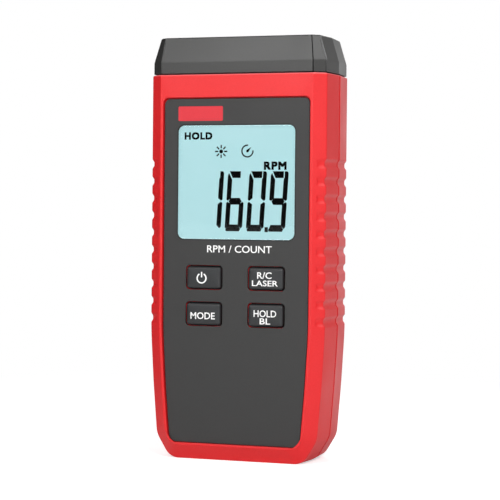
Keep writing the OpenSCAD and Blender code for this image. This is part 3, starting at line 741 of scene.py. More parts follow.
def caseShell(name, rings, reaches):
    shell = loft(name, rings, "reach", [r for r, ring in zip(reaches, rings) for _ in ring])
    pressRow(shell, gripRibs, ribShape, ribShape["first"])
    return shell


def cavityTool(edgeIn, y0, y1):
    s = caseShape
    outline = caseOutline(edgeIn + s["wall"], s["wall"], s["cavityTop"], s["cavitySteps"])
    return addObject("cavity", prismMesh("cavity", outline, y0, y1))


keyNames = ("power", "laser", "mode", "hold")
keyShape = {"lip": 1.0, "flangeThick": 1.0, "radius": 0.8, "caseGap": 0.36, "panelGap": 0.45, "edge": 0.7,
            "mouth": 0.1, "crown": 0.1, "dome": ((-1.2, 0.35), (-1.9, 0.1), (-2.5, 0.0)), "sharpFrom": 40}
windowLow, windowHigh = nodeBox("display_window")
windowShape = {"lip": 0.9, "radius": 2.0, "edge": 0.25, "edgeLow": 0.6, "gap": 0.03, "backGap": 0.25,
               "line": 0.34, "lineSoft": 0.08}


def keyOutline(name, grow):
    return faceOutline(name + "_key", keyShape, grow, 6)


def windowOutline(grow, steps=8):
    return faceOutline("display_window", windowShape, grow, steps)


# a fine dark line runs round the window
def shadeWindowLine(material):
    tree, s, beyond = material.node_tree, windowShape, {}
    place = splitXYZ(tree, objectPlace(tree))
    for i, axis in ((0, "X"), (2, "Z")):
        middle = (windowLow[i] + windowHigh[i]) / 2
        straight = (windowHigh[i] - windowLow[i]) / 2 - s["lip"] - s["radius"]
        away = calc(tree, "SUBTRACT", awayFrom(tree, place[axis], middle * mm), straight * mm)
        beyond[axis] = calc(tree, "MAXIMUM", away, 0.0)
    edge, soft = s["radius"] + s["line"], s["lineSoft"]
    span = lengthOf(tree, joinXYZ(tree, beyond))
    tint(material, mapRange(tree, span, (edge - soft) * mm, (edge + soft) * mm, 1.0, 0.0), lineDark)


shadeWindowLine(panelGrey)

# screws sit at the corners of their node's box, the lower pair closer together
screwShape = {"headRadius": 2.3, "headHigh": 1.8, "shank": 1.3, "root": 1.05, "thread": 0.9, "lowerX": 16.0,
              "boss": 2.7, "tube": 3.7, "well": 2.45, "wellRound": 0.25, "hole": 1.45, "bore": 1.33,
              "tip": 0.35, "tipLong": 1.0, "threadFrom": 1.1, "plain": 1.6, "crest": 0.3, "trough": 0.6,
              "neck": 0.3, "chamfer": 0.15, "rim": 0.5, "turn": 0.7,
              "crossArm": 0.55, "crossHalf": 0.125, "crossRound": 0.1, "crossLow": 0.75, "crossFlare": 1.1}
screwLow, screwHigh = nodeBox("case_screws")
seatY = screwHigh.y - screwShape["headHigh"]
screwSpots = [(side * x, z) for x, z in (
    (screwHigh.x - screwShape["headRadius"], screwHigh.z - screwShape["headRadius"]),
    (screwShape["lowerX"], screwLow.z + screwShape["headRadius"])) for side in (-1, 1)]
postShape = {"x": 20.0, "radius": 2.4, "bore": 1.03, "boltHead": 1.9}
boltLow, boltHigh = nodeBox("board_screws")
postEnds = (boltLow.z + postShape["boltHead"], boltHigh.z - postShape["boltHead"])
postSpots = [(side * postShape["x"], z) for z in postEnds for side in (-1, 1)]


def makeFrontCase():
    s, k, gap = caseShape, keyShape, panelShape["gap"]
    facetY, boardY = frontY + s["facetDeep"], nodeBox("main_board")[0].y
    side, foot = caseProfiles(frontY, facetY, frontIn, facetEdgeIn, s["footFacet"])
    outer = [caseRing(a, b, frontY) for a, b in zip(side, foot)]
    reach = [ribReach(a, facetEdgeIn, facetY, frontY) for a in side]
    # the panel recess, from its floor up to the round rim
    middle = Vector((0, (panelLow.z + panelHigh.z) / 2))
    mouth = [Vector((p.x, p.z)) for p in outer[0]]
    recess = [(gap, recessY)] + [(gap + out, frontY + deep) for out, deep in quarterRound(s["rimRound"], 4)]
    inner = [atY(matchedByAngle(panelOutline(grow), mouth, middle), y) for grow, y in recess]
    shell = caseShell("front_shell", inner + outer, [0.0] * len(inner) + reach)
    cut(shell, cavityTool(facetEdgeIn, innerY, partY + past))
    join(shell, rods("bosses", screwShape["boss"], innerY - s["sunk"], partY, screwSpots))
    join(shell, rods("posts", postShape["radius"], innerY - s["sunk"], boardY, postSpots))
    cut(shell, rods("bores", screwShape["bore"], screwLow.y, partY + past, screwSpots))
    cut(shell, rods("postBores", postShape["bore"], innerY, boardY + past, postSpots))
    hole = windowOutline(windowShape["lip"] + gap, 6)
    cut(shell, addObject("windowHole", prismMesh("windowHole", hole, frontY, innerY + past)))
    for name in keyNames:
        cut(shell, mouthTool(name + "Hole", lambda grow: keyOutline(name, k["caseGap"] + grow),
                             recessY, innerY + past, k["mouth"]))
    return smoothFlats(shell)


frontShell = makeFrontCase()
finishPiece(frontShell, caseRed, "housing", ["front_case"])
print("front case made", len(frontShell.data.polygons))

# rear case, with the cell bay, the cover's seat and the screw wells
bayShape = {"wide": 33.7, "low": 13.0, "high": 62.8, "floorY": 0.65, "floor": 1.0, "wall": 1.4, "sunk": 1.0,
            "tailX": 11.2, "tailHalf": 1.65, "tailHigh": 0.55, "wireRadius": 2.0,
            "shelfIn": 2.2, "shelfLow": 105.45, "shelfHigh": 107.25}
coverShape = {"thick": 1.6, "lip": 0.0, "radius": 2.0, "gap": 0.2, "edge": 0.35, "under": 0.15,
              "seatRound": 0.25, "notchRadius": 6.0, "notchDeep": 1.0, "notchRound": 0.25,
              "ribEdge": 0.2, "short": 4.0,
              "railIn": 0.15, "railThick": 1.0, "railDeep": 1.5,
              "dividerX": 5.6, "dividerThick": 1.2, "dividerDeep": 2.0}
coverHigh = nodeBox("battery_cover")[1]
coverY = coverHigh.y - coverShape["thick"]
paneNodes = ("laser_window", "receiver_window")


def coverOutline(grow):
    return faceOutline("battery_cover", coverShape, grow)


def makeRearCase():
    s, b, c, screw = caseShape, bayShape, coverShape, screwShape
    facetY, wallY, x = backY - s["rearFacetDeep"], backY - s["backWall"], b["wide"] / 2
    side, foot = caseProfiles(backY, facetY, backIn, rearEdgeIn, s["rearFootFacet"], s["gapWide"])
    rings = [caseRing(p, q, backY) for p, q in zip(side, foot)]
    shell = caseShell("rear_shell", rings, [ribReach(p, rearEdgeIn, facetY, backY) for p in side])
    cut(shell, cavityTool(rearEdgeIn, partY - past, wallY))
    wallY += b["sunk"]
    join(shell, rods("tubes", screw["tube"], partY, wallY, screwSpots))
    join(shell, block("bayWalls", (-x - b["wall"], b["floorY"] - b["floor"], b["low"] - b["wall"]),
                      (x + b["wall"], wallY, b["high"] + b["wall"])))
    shelfX = halfWide - b["shelfIn"]
    join(shell, block("shelf", (-shelfX, partY, b["shelfLow"]), (shelfX, facetY, b["shelfHigh"])))
    cut(shell, block("bay", (-x, b["floorY"], b["low"]), (x, backY + past, b["high"])))
    cut(shell, mouthTool("coverSeat", lambda grow: coverOutline(c["gap"] + grow),
                         backY, coverY, c["seatRound"]))
    cut(shell, mouthTool("notch", lambda grow: circleOutline(c["notchRadius"] + grow, 64, (0, coverHigh.z)),
                         backY, backY - c["notchDeep"], c["notchRound"]))
    cut(shell, rods("holes", screw["hole"], partY - past, backY, screwSpots))
    for i, spot in enumerate(screwSpots):
        cut(shell, mouthTool("well%d" % i, lambda grow: circleOutline(screw["well"] + grow, 48, spot),
                             backY, seatY, screw["wellRound"]))
    for i, (tailX, z) in enumerate(((-b["tailX"], b["high"] - b["tailHigh"]), (b["tailX"], b["low"]))):
        cut(shell, block("tail%d" % i, (tailX - b["tailHalf"], partY - past, z),
                         (tailX + b["tailHalf"], b["floorY"] + past, z + b["tailHigh"])))
    for node in paneNodes:
        wire = circleOutline(b["wireRadius"], 40, (faceCentre(node)[0], 0))
        cut(shell, loft(node + "Wire", [atZ(wire, z) for z in (b["shelfLow"] - past, b["shelfHigh"] + past)]))
    return smoothFlats(shell)


rearShell = makeRearCase()
finishPiece(rearShell, caseRed, "housing", ["rear_case"])
print("rear case made", len(rearShell.data.polygons))

# end cap; a fine crease runs down each upright edge of the front, given as corner and depth
capShape = {"step": 0.25, "band": 3.9, "front": 1.3, "facet": 1.6, "side": 2.3, "back": 1.0,
            "slotHigh": 0.3, "slotIn": 1.6, "lowRound": 0.15, "bend": 0.35, "topRound": 0.45,
            "edgeRound": 0.25, "sideRound": 1.0, "lineRound": (0.55, 0.8), "arcSteps": 6,
            "creases": {0: 0.22, 1: 0.3, 8: 0.3, 9: 0.22},
            "skirtIn": 3.165, "skirtWall": 1.6, "skirtFront": 3.15, "skirtBack": 2.35,
            "top": 2.5, "paneThick": 1.1, "paneLedge": 0.9, "paneGap": 0.03, "paneRound": 0.2}
capLow, capHigh = nodeBox("end_cap")
creaseArc = [1 - abs(2 * k / capShape["arcSteps"] - 1) for k in range(capShape["arcSteps"] + 1)]
# painted shade: marks along each crease darken the cap's grey there
capCreaseShade = [mark if corner in capShape["creases"] else 0.0 for corner in range(10) for mark in creaseArc]
creaseShadeMark = addNode(capGrey.node_tree, "ShaderNodeAttribute", attribute_name="crease").outputs["Fac"]
tint(capGrey, mapRange(capGrey.node_tree, creaseShadeMark, 0.0, 0.15, 0.0, 1.0), lineDark)


def capOutline(front, facet, side, back):
    c, s = capShape, caseShape
    points = mirrored([
        (halfWide - frontIn, frontY), (halfWide - facetEdgeIn, frontY + s["facetDeep"]), (halfWide, partY),
        (halfWide - rearEdgeIn, backY - s["rearFacetDeep"]), (halfWide - backIn, backY),
    ])
    moves = [facet, side, side, facet, back, facet, side, side, facet, front]
    radii = [*c["lineRound"], c["sideRound"], c["edgeRound"], c["edgeRound"]]
    outline = roundedCorners(inset(points, moves), radii + radii[::-1], c["arcSteps"])
    for corner, deep in c["creases"].items():
        first = corner * len(creaseArc)
        into = inward([outline[first], outline[first + c["arcSteps"]]], 0)
        for k, mark in enumerate(creaseArc):
            outline[first + k] = outline[first + k] + into * deep * mark
    return outline


def capRing(z, extra=0.0):
    c = capShape
    crease, rise = caseHigh + c["band"], capHigh.z - caseHigh - c["band"]
    if z <= crease - c["bend"]:
        lean = 0.0
    elif z >= crease + c["bend"]:
        lean = (z - crease) / rise
    else:
        lean = (z - crease + c["bend"]) ** 2 / (4 * c["bend"] * rise)
    moves = [c["step"] + extra + lean * c[face] for face in ("front", "facet", "side", "back")]
    return atZ(capOutline(*moves), z)


def makeEndCap():
    c = capShape
    slotZ, top, crease = caseHigh + c["slotHigh"], capHigh.z, caseHigh + c["band"]
    rings = [capRing(caseHigh, c["slotIn"]), capRing(slotZ, c["slotIn"])]
    rings += [capRing(slotZ + up, into) for up, into in quarterRound(c["lowRound"], 4)]
    rings += [capRing(crease + c["bend"] * (k / 4 - 1)) for k in range(9)]
    rings += [capRing(top - down, into) for into, down in quarterRound(c["topRound"], 6)]
    cap = loft("cap_shell", rings, "crease", capCreaseShade * len(rings))
    skirtLow = Vector((c["skirtIn"] - halfWide, frontY + c["skirtFront"], capLow.z))
    skirtHigh = Vector((halfWide - c["skirtIn"], backY - c["skirtBack"], slotZ))
    wall = Vector((c["skirtWall"], c["skirtWall"], 0))
    join(cap, block("skirt", skirtLow, skirtHigh))
    hollowHigh = Vector((*(skirtHigh - wall).xy, top - c["top"]))
    cut(cap, block("hollow", skirtLow + wall - Vector((0, 0, past)), hollowHigh))
    for node in paneNodes:
        low, high = nodeBox(node)
        middle, radius = (low + high) / 2, (high.x - low.x) / 2
        seat, ledge, ledgeZ = radius + c["paneGap"], radius - c["paneLedge"], top - c["paneThick"]
        profile = [(ledge, top - c["top"] - past), (ledge, ledgeZ), (seat, ledgeZ)]
        profile += [(seat + out, top - down) for out, down in quarterRound(c["paneRound"], 4)]
        profile.append((seat + c["paneRound"], top + past))
        cut(cap, loft(node + "Seat", [atZ(circleOutline(r, 64, middle.xy), z) for r, z in profile]))
    return smoothFlats(cap)


capShell = makeEndCap()
finishPiece(capShell, capGrey, "housing", ["end_cap"])
print("end cap made", len(capShell.data.polygons))


# face panel, display window and keys
def makePanel():
    p, flare = panelShape, panelShape["holeRound"]
    rings = [(0, recessY)] + [(-into, panelY + deep) for into, deep in quarterRound(p["edgeRound"], 4)]
    panel = loft("panel_plate", [atY(panelOutline(grow), y) for grow, y in rings])
    cut(panel, mouthTool("windowOpening", windowOutline, panelY, recessY + past, flare))
    for name in keyNames:
        cut(panel, mouthTool(name + "Opening", lambda grow: keyOutline(name, keyShape["panelGap"] + grow),
                             panelY, recessY + past, flare))
    return smoothFlats(panel)


def makeWindow():
    s, gap = windowShape, windowShape["gap"]
    rings = [(s["lip"], windowHigh.y - s["backGap"]), (s["lip"], recessY + gap), (-gap, recessY + gap)]
    rings += [(-gap - into, panelY + s["edgeLow"] * deep) for into, deep in quarterRound(s["edge"], 5)]
    return smoothFlats(loft("window_pane", [atY(windowOutline(grow), y) for grow, y in rings]))


def makeKey(name):
    k = keyShape
    low, high = nodeBox(name + "_key")
    flangeY, rim = high.y - k["flangeThick"], low.y + k["crown"]
    rings = [(k["lip"], high.y), (k["lip"], flangeY), (0, flangeY)]
    rings += [(-into, rim + deep) for into, deep in quarterRound(k["edge"], 6)]
    rings += [(grow, low.y + k["crown"] * share) for grow, share in k["dome"]]
    cap = loft(name + "_cap", [atY(keyOutline(name, grow), y) for grow, y in rings])
    return smoothFlats(cap, k["sharpFrom"])


finishPiece(makePanel(), panelGrey, "housing", ["face_panel"])
finishPiece(makeWindow(), windowClear, "housing", ["display_window"])
for name in keyNames:
    finishPiece(makeKey(name), keyRubber, name + "_button", [name + "_key"])
print("panel, window and keys made")

# battery cover
grooveShape = {"drop": 5.0, "pitch": 2.2, "count": 5, "width": 1.5, "floor": 0.1, "depth": 0.62, "wide": 16.0,
               "fade": 0.9, "beyond": 0.6, "clear": 0.02, "thick": 1.0, "acrossSteps": 44, "alongSteps": 110}


# a slab just off the cover, with the grooves standing out from its near face
def grooveTool():
    g = grooveShape
    halfX, topZ = g["wide"] / 2 + g["beyond"], coverHigh.z - g["drop"]
    lowZ = topZ - g["pitch"] * (g["count"] - 1)
    across, along, tall = g["acrossSteps"], g["alongSteps"], topZ - lowZ + g["pitch"]
    bm = bmesh.new()
    grid = [[bm.verts.new(Vector((halfX * (2 * i / across - 1), backY + g["clear"],
                                  lowZ - g["pitch"] / 2 + tall * k / along)) * mm)
             for i in range(across + 1)] for k in range(along + 1)]
    for k in range(along):
        for i in range(across):
            bm.faces.new((grid[k][i], grid[k][i + 1], grid[k + 1][i + 1], grid[k + 1][i]))
    for v in bmesh.ops.extrude_face_region(bm, geom=bm.faces[:])["geom"]:
        if isinstance(v, bmesh.types.BMVert):
            v.co.y += g["thick"] * mm
    bmesh.ops.recalc_face_normals(bm, faces=bm.faces)
    mesh = fillMesh(bpy.data.meshes.new("grooveTool"), bm)
    reaches = []
    for x, y, _ in (v.co / mm for v in mesh.vertices):
        onFace = y < backY + g["thick"] / 2
        reaches.append(roundFall((g["wide"] / 2 - abs(x)) / g["fade"]) if onFace else 0.0)
    setMarks(mesh, "reach", reaches)
    tool = addObject("grooveTool", mesh)
    pressRow(tool, gripGrooves, g, lowZ)
    return tool


def makeCover():
    c, b = coverShape, bayShape
    rings = [(-c["under"], coverY), (0, coverY + c["under"])]
    rings += [(-into, backY - deep) for into, deep in quarterRound(c["edge"], 5)]
    cover = loft("cover_plate", [atY(coverOutline(grow), y) for grow, y in rings])
    z0, z1, deepY = b["low"] + c["short"], b["high"] - c["short"], backY - c["thick"] / 2
    railX = b["wide"] / 2 - c["railIn"] - c["railThick"] / 2
    for side in (-1, 1):
        for kind, x in (("rail", side * railX), ("divider", side * c["dividerX"])):
            half = c[kind + "Thick"] / 2
            join(cover, block("%s%d" % (kind, side), (x - half, coverY - c[kind + "Deep"], z0),
                              (x + half, deepY, z1), c["ribEdge"]))
    cut(cover, grooveTool())
    return smoothFlats(cover)


coverPlate = makeCover()
finishPiece(coverPlate, caseRed, "cover", ["battery_cover"])
print("battery cover made", len(coverPlate.data.polygons))


# screws: one is made, then set on points by a tree
def pointSetTree():
    tree, enter, leave = pieceTree("setOnPoints", {"Piece": "Object", "Turn": "Float"})
    piece = addNode(tree, "GeometryNodeObjectInfo", {"Object": enter["Piece"]}).outputs["Geometry"]
    turn = calc(tree, "MULTIPLY", addNode(tree, "GeometryNodeInputIndex").outputs[0], enter["Turn"])
    return endOnPoints(tree, enter, leave, piece, "Y", turn)


def makeScrew():
    s, tipY = screwShape, screwLow.y - seatY
    head, rim, pitch = s["headRadius"], s["rim"], s["thread"]
    profile = [(s["tip"], tipY), (s["root"], tipY + s["tipLong"])]
    for k in range(int((-tipY - s["plain"]) / pitch)):
        y = tipY + s["threadFrom"] + k * pitch
        profile += [(s["shank"], y + s["crest"] * pitch), (s["root"], y + s["trough"] * pitch)]
    profile += [(s["shank"], -s["neck"]), (s["shank"], 0), (head - s["chamfer"], 0), (head, s["chamfer"]),
                (head, rim)]
    turns = [math.pi / 2 * k / 8 for k in range(1, 8)]
    profile += [(head * math.cos(t) ** 0.5, rim + (s["headHigh"] - rim) * math.sin(t)) for t in turns]
    screw = loft("screw", [atY(circleOutline(r, 36), y) for r, y in profile])
    arm, half = head * s["crossArm"], head * s["crossHalf"]
    ends = ((s["crossLow"], s["crossLow"]), (s["crossFlare"], s["headHigh"] + rim))
    for i, (x, z) in enumerate(((arm, half), (half, arm))):
        slot = [atY(roundedBox(2 * x * k, 2 * z * k, s["crossRound"], 3), y) for k, y in ends]
        cut(screw, loft("slot%d" % i, slot))
    return smoothFlats(screw)


def makeScrews():
    screw = makeScrew()
    points = [Vector((x, seatY, z)) * mm for x, z in screwSpots]
    screws = addObject("housing_screws", newMesh("screwPoints", points))
    addTree(screws, pointSetTree(), {"Piece": screw, "Turn": screwShape["turn"], "Material": platedSteel})
    settle(screws)
    bpy.data.objects.remove(screw)
    return screws


finishPiece(makeScrews(), platedSteel, "housing", ["case_screws"])

# battery springs: a narrowing coil, up at the outer cells and down at the middle one
springShape = {"wire": 0.6, "turns": 3.5, "foot": 3.2, "tip": 1.7, "pitch": 11.2,
               "coilSteps": 36, "wireSteps": 10}


def springTree():
    sizes = floats("Turns", "Foot Radius", "Tip Radius", "Height", "Wire")
    tree, enter, leave = pieceTree("coilSet", sizes)
    coil = addNode(tree, "GeometryNodeCurveSpiral", {
        "Resolution": springShape["coilSteps"], "Rotations": enter["Turns"], "Height": enter["Height"],
        "Start Radius": enter["Foot Radius"], "End Radius": enter["Tip Radius"],
    })
    section = addNode(tree, "GeometryNodeCurvePrimitiveCircle", {
        "Resolution": springShape["wireSteps"], "Radius": calc(tree, "MULTIPLY", enter["Wire"], 0.5),
    })
    wire = addNode(tree, "GeometryNodeCurveToMesh", {
        "Curve": coil.outputs[0], "Profile Curve": section.outputs["Curve"], "Fill Caps": True,
    })
    turn = calc(tree, "MULTIPLY", namedValue(tree, "flip"), math.pi)
    return endOnPoints(tree, enter, leave, wire.outputs[0], "X", turn)


def makeSprings():
    s = springShape
    low, high = nodeBox("battery_springs")
    middleY, half = (low.y + high.y) / 2, s["wire"] / 2
    spots = [(-s["pitch"], low.z + half), (s["pitch"], low.z + half), (0, high.z - half)]
    mesh = newMesh("springPoints", [Vector((x, middleY, z)) * mm for x, z in spots])
    setMarks(mesh, "flip", [0.0, 0.0, 1.0])
    springs = addObject("cell_springs", mesh)
    tall = nodeBox("left_cell")[0].z - low.z - s["wire"]
    addTree(springs, springTree(), {
        "Turns": s["turns"], "Foot Radius": s["foot"] * mm, "Tip Radius": s["tip"] * mm, "Height": tall * mm,
        "Wire": s["wire"] * mm, "Material": platedSteel,
    })
    closed(settle(springs).data).shade_smooth()
    return springs


finishPiece(makeSprings(), platedSteel, "housing", ["battery_springs"])
print("screws and springs made")


# flat print: closed pieces a little proud of the face they are on; back and front are places along Y
def wordMesh(words, centre, size, back, front, bold=0.012, spread=0.0, spacing=1.0):
    curve = bpy.data.curves.new("word", "FONT")
    curve.body, curve.extrude, curve.offset = words, 0.1, bold
    curve.space_character, curve.resolution_u = spacing, 3
    word = addObject("word", curve)
    graph = bpy.context.evaluated_depsgraph_get()
    thin = closed(bpy.data.meshes.new_from_object(word.evaluated_get(graph)))
    bpy.data.objects.remove(word)
    bpy.data.curves.remove(curve)
    word = addObject("word", thin)
    shifts = [(x, y, 0) for x in (-spread, spread) for y in (-spread, spread)] if spread else []
    for i, shift in enumerate(shifts):
        copy = thin.copy()
        copy.transform(Matrix.Translation(shift))
        join(word, addObject("heavy%d" % i, copy))
    mesh = settle(word).data
    bpy.data.objects.remove(word)
    lows, highs = ([end(v.co[i] for v in mesh.vertices) for i in (0, 1)] for end in (min, max))
    for v in mesh.vertices:
        x, z = ((v.co[i] - (lows[i] + highs[i]) / 2) / (highs[i] - lows[i]) * size[i] + centre[i]
                for i in (0, 1))
        v.co = Vector((x, front if v.co.z > 0 else back, z)) * mm
    return closed(mesh)


def arcBand(centre, radius, stroke, fromDegrees, toDegrees, steps=40):
    turns = [math.radians(fromDegrees + (toDegrees - fromDegrees) * k / steps) for k in range(steps + 1)]
    inner = [onCircle(centre, radius - stroke, t) for t in reversed(turns)]
    return [onCircle(centre, radius, t) for t in turns] + inner


def bar(a, b, stroke):
    side = Vector((a.y - b.y, b.x - a.x)).normalized() * stroke / 2
    return [a + side, a - side, b - side, b + side]


# places from the middle of each key, sizes in millimetres
legends = {
    "laser": [("R/C", (-0.33, 0.99), (4.64, 2.01)), ("LASER", (-0.14, -1.40), (8.34, 1.76))],
    "mode": [("MODE", (-0.10, -0.54), (7.98, 2.11))],
    "hold": [("HOLD", (-0.05, 0.59), (7.27, 2.09)), ("BL", (-0.02, -1.72), (3.38, 1.84))],
}
legendShape = {"proud": 0.015, "deep": 0.07}
powerSign = {"place": (-0.54, -0.22), "radius": 1.66, "stroke": 0.42, "gap": 58.0,
             "barLow": 0.25, "barTop": 1.95}


def makeLegend(name):
    middle, face = Vector(faceCentre(name + "_key")), nodeBox(name + "_key")[0].y
    ends = (face + legendShape["deep"], face - legendShape["proud"])
    if name in legends:
        meshes = [wordMesh(words, middle + Vector(place), size, *ends)
                  for words, place, size in legends[name]]
    else:
        p = powerSign
        spot = middle + Vector(p["place"])
        band = arcBand(spot, p["radius"], p["stroke"], 90 + p["gap"] / 2, 450 - p["gap"] / 2)
        stem = bar(*(spot + Vector((0, p[end])) for end in ("barLow", "barTop")), p["stroke"])
        meshes = [prismMesh(name, outline, *ends) for outline in (band, stem)]
    return joined(name + "_legend", meshes)


for name in keyNames:
    finishPiece(makeLegend(name), inkWhite, name + "_button")

# the display's segments: corners of each one within a cell, before the slant
digitShape = {"wide": 5.66, "high": 18.35, "upright": 1.48, "level": 2.05, "gap": 0.28, "slant": 0.059,
              "pitch": 6.95, "firstX": -11.06, "lowZ": 70.5}
digitSegments = {"1": "bc", "6": "acdefg", "0": "abcdef", "9": "abcdfg"}


def segmentOutlines():
    w, h, v, l, g = (digitShape[key] for key in ("wide", "high", "upright", "level", "gap"))
    m, inner, joint = h / 2, w - v, g / 2
    return {
        "a": [(0.55, h), (v + g - 0.2, h - l), (inner - joint + 0.1, h - l), (inner - joint + 0.1, h)],
        "b": [(inner + joint + 0.1, h), (inner + joint + 0.1, h - l), (inner, h - l - 0.2), (inner, m + 0.95),
              (w - 0.45, m + joint), (w, m + 0.55), (w, h - 0.75), (w - 0.14, h - 0.3), (w - 0.5, h)],
        "c": [(w - 0.45, m - joint), (inner, m - 0.95), (inner, 1.85), (w - 0.5, 0.85), (w, 1.4),
              (w, m - 0.55)],
        "d": [(0.95, l), (0.25, 0.45), (0.45, 0), (w - 0.95, 0), (w - 0.62, 0.75), (inner - 0.1, l)],
        "e": [(0.45, m - joint), (0, m - 0.55), (0, 1.2), (0.2, 0.8), (v, 2.1), (v, m - 0.95)],
        "f": [(0.45, m + joint), (v, m + 0.95), (v, h - l - 0.55), (0.35, h - 0.55), (0.05, h - 1.15),
              (0, h - 1.5), (0, m + 0.55)],
        "g": [(0.7, m), (1.35, m - l / 2), (w - 1.35, m - l / 2), (w - 0.7, m), (w - 1.35, m + l / 2),
              (1.35, m + l / 2)],
    }


lcdShape = {
    "proud": 0.04, "lift": 0.005, "bold": 0.0, "spread": 0.05, "spacing": 1.16,
    "words": [("HOLD", (-12.92, 99.71), (9.14, 2.31)), ("RPM", (12.16, 90.54), (7.28, 2.52))],
    "dot": [(8.93, 70.35), (10.0, 70.35), (10.0, 71.85), (8.93, 71.85)],
    "burst": {"place": (-5.40, 94.92), "core": 0.62, "from": 0.95, "to": 2.0, "rays": 8, "stroke": 0.42},
    "dial": {"place": (3.16, 95.02), "radius": 2.0, "stroke": 0.42, "openFrom": 6.0, "openTo": 84.0,
             "hub": 0.42, "hubFrom": 75, "hubSpan": 210, "needle": 1.7},
}


def makeSegments():
    d, s, segments = digitShape, lcdShape, segmentOutlines()
    outlines = [[Vector(p) for p in s["dot"]]]
    for i, digit in enumerate("1609"):
        x0 = d["firstX"] + i * d["pitch"]
        for segment in digitSegments[digit]:
            outlines.append([Vector((x0 + x + z * d["slant"], d["lowZ"] + z)) for x, z in segments[segment]])
    burst, dial = s["burst"], s["dial"]
    outlines.append(circleOutline(burst["core"], 24, burst["place"]))
    for k in range(burst["rays"]):
        turn = 2 * math.pi * k / burst["rays"]
        ends = [onCircle(burst["place"], burst[end], turn) for end in ("from", "to")]
        outlines.append(bar(*ends, burst["stroke"]))
    sweep = (dial["openTo"], 360 + dial["openFrom"])
    outlines.append(arcBand(dial["place"], dial["radius"], dial["stroke"], *sweep))
    middle = (dial["openFrom"] + dial["openTo"]) / 2
    turns = [math.radians(middle + dial["hubFrom"] + dial["hubSpan"] * k / 12) for k in range(13)]
    needle = [onCircle(dial["place"], dial["hub"], t) for t in turns]
    outlines.append(needle + [onCircle(dial["place"], dial["needle"], math.radians(middle))])
    face = nodeBox("lcd_glass")[0].y
    ends = (face - s["lift"], face - s["proud"])
    meshes = [prismMesh("segment", outline, *ends) for outline in outlines]
    meshes += [wordMesh(*word, *ends, s["bold"], s["spread"], s["spacing"]) for word in s["words"]]
    return joined("lcd_segments", meshes)


finishPiece(makeSegments(), inkBlack, "housing")

panelPrints = {"badge": {"place": (-11.69, 106.50), "size": (14.6, 4.47), "radius": 0.35},
               "units": ("RPM / COUNT", (1.33, 65.03), (21.0, 2.2)),
               "proud": 0.015, "deep": 0.05, "bold": 0.008}
printEnds = (panelY + panelPrints["deep"], panelY - panelPrints["proud"])


def makeBadge():
    b = panelPrints["badge"]
    outline = roundedBox(*b["size"], b["radius"], 5, b["place"])
    return joined("badge_field", [prismMesh("badge", outline, *printEnds)])


def makeUnits():
    return joined("units_print", [wordMesh(*panelPrints["units"], *printEnds, panelPrints["bold"])])


finishPiece(makeBadge(), inkRed, "housing")
finishPiece(makeUnits(), inkWhite, "housing")
print("print made")

# materials of the pieces kept as they are
keptMaterials = [
    (lcdGlow(), ["lcd_glass"]), (frameWhite, ["lcd_frame", "backlight_panel"]),
    (zebraRubber(), ["zebra_connectors"]),
    (switchPlastic, ["key_switches", "optics_holder"] + [name + "_plunger" for name in keyNames]),
    (boardGreen(), ["main_board"]), (chipBlack(), ["controller_chip"]), (barrelBrass, ["laser_module"]),
    (platedSteel, ["board_screws", "crystal", "positive_terminal", "negative_terminal", "upper_link_plate",
                   "lower_link_plate"]),
    (lensGlass, ["laser_lens", "receiver_lens"]), (diodeDark, ["photodiode"]), (filterRed, paneNodes),
] + [(cellWrap(side, side != "middle"), [side + "_cell"]) for side in ("left", "middle", "right")]
for material, names in keptMaterials:
    for name in names:
        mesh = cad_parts[name].data
        mesh.materials.clear()
        mesh.materials.append(material)
print("kept pieces dressed", sum(len(names) for _, names in keptMaterials))

# camera, as the photograph was taken
cameraShape = {"eye": (191.586, -533.373, 75.361), "ahead": (-0.3374017, 0.9411696, -0.0189696),
               "up": (-0.0151436, 0.0147220, 0.9997769), "lens": 130.957}


def makeCamera():
    camera = bpy.data.cameras.new("photoCamera")
    camera.sensor_width, camera.lens = 36, cameraShape["lens"]
    camera.clip_start, camera.clip_end = 0.01, 50
    scene.camera = addObject("photoCamera", camera)
    ahead = Vector(cameraShape["ahead"]).normalized()
    right = ahead.cross(Vector(cameraShape["up"])).normalized()
    turn = Matrix((right, right.cross(ahead), -ahead)).transposed()
    scene.camera.matrix_world = Matrix.Translation(Vector(cameraShape["eye"]) * mm) @ turn.to_4x4()


makeCamera()

# studio, in metres and watts; a level that varies is given as from, to, and its values there
studio = {"worldFill": 0.30, "floorReach": 12.0, "floorGlow": 0.55,
          "behind": (-0.3, 0.6, 0.04, 0.32), "farBehind": (0.86, 1.0, 0.0, 1.1),
          "dimming": (0.05, 0.55, 1.0, 0.35), "above": (0.15, 0.8, 0.0, 0.5),
          "floorMirrored": (0.0, 0.12, 0.0, 0.6), "floorFade": (0.09, 0.3, 0.0, 1.0)}
lamps = {"keyLamp": ((0.45, -0.565, 0.58), (0, 0, 0.08), (0.35, 0.35), 4.5),
         "topLamp": ((-0.19, -0.56, 0.38), (0, 0, 0.12), (0.24, 0.46), 1.9),
         "fillLamp": ((0.38, -0.88, 0.04), (0, 0, 0.04), (0.5, 0.5), 2.0),
         "backLamp": ((-0.2, 0.75, 0.6), (0, 0, 0.07), (0.5, 0.5), 2.5)}
cardShape = {"x": -0.16, "front": -0.35, "back": 0.12, "high": 0.50}


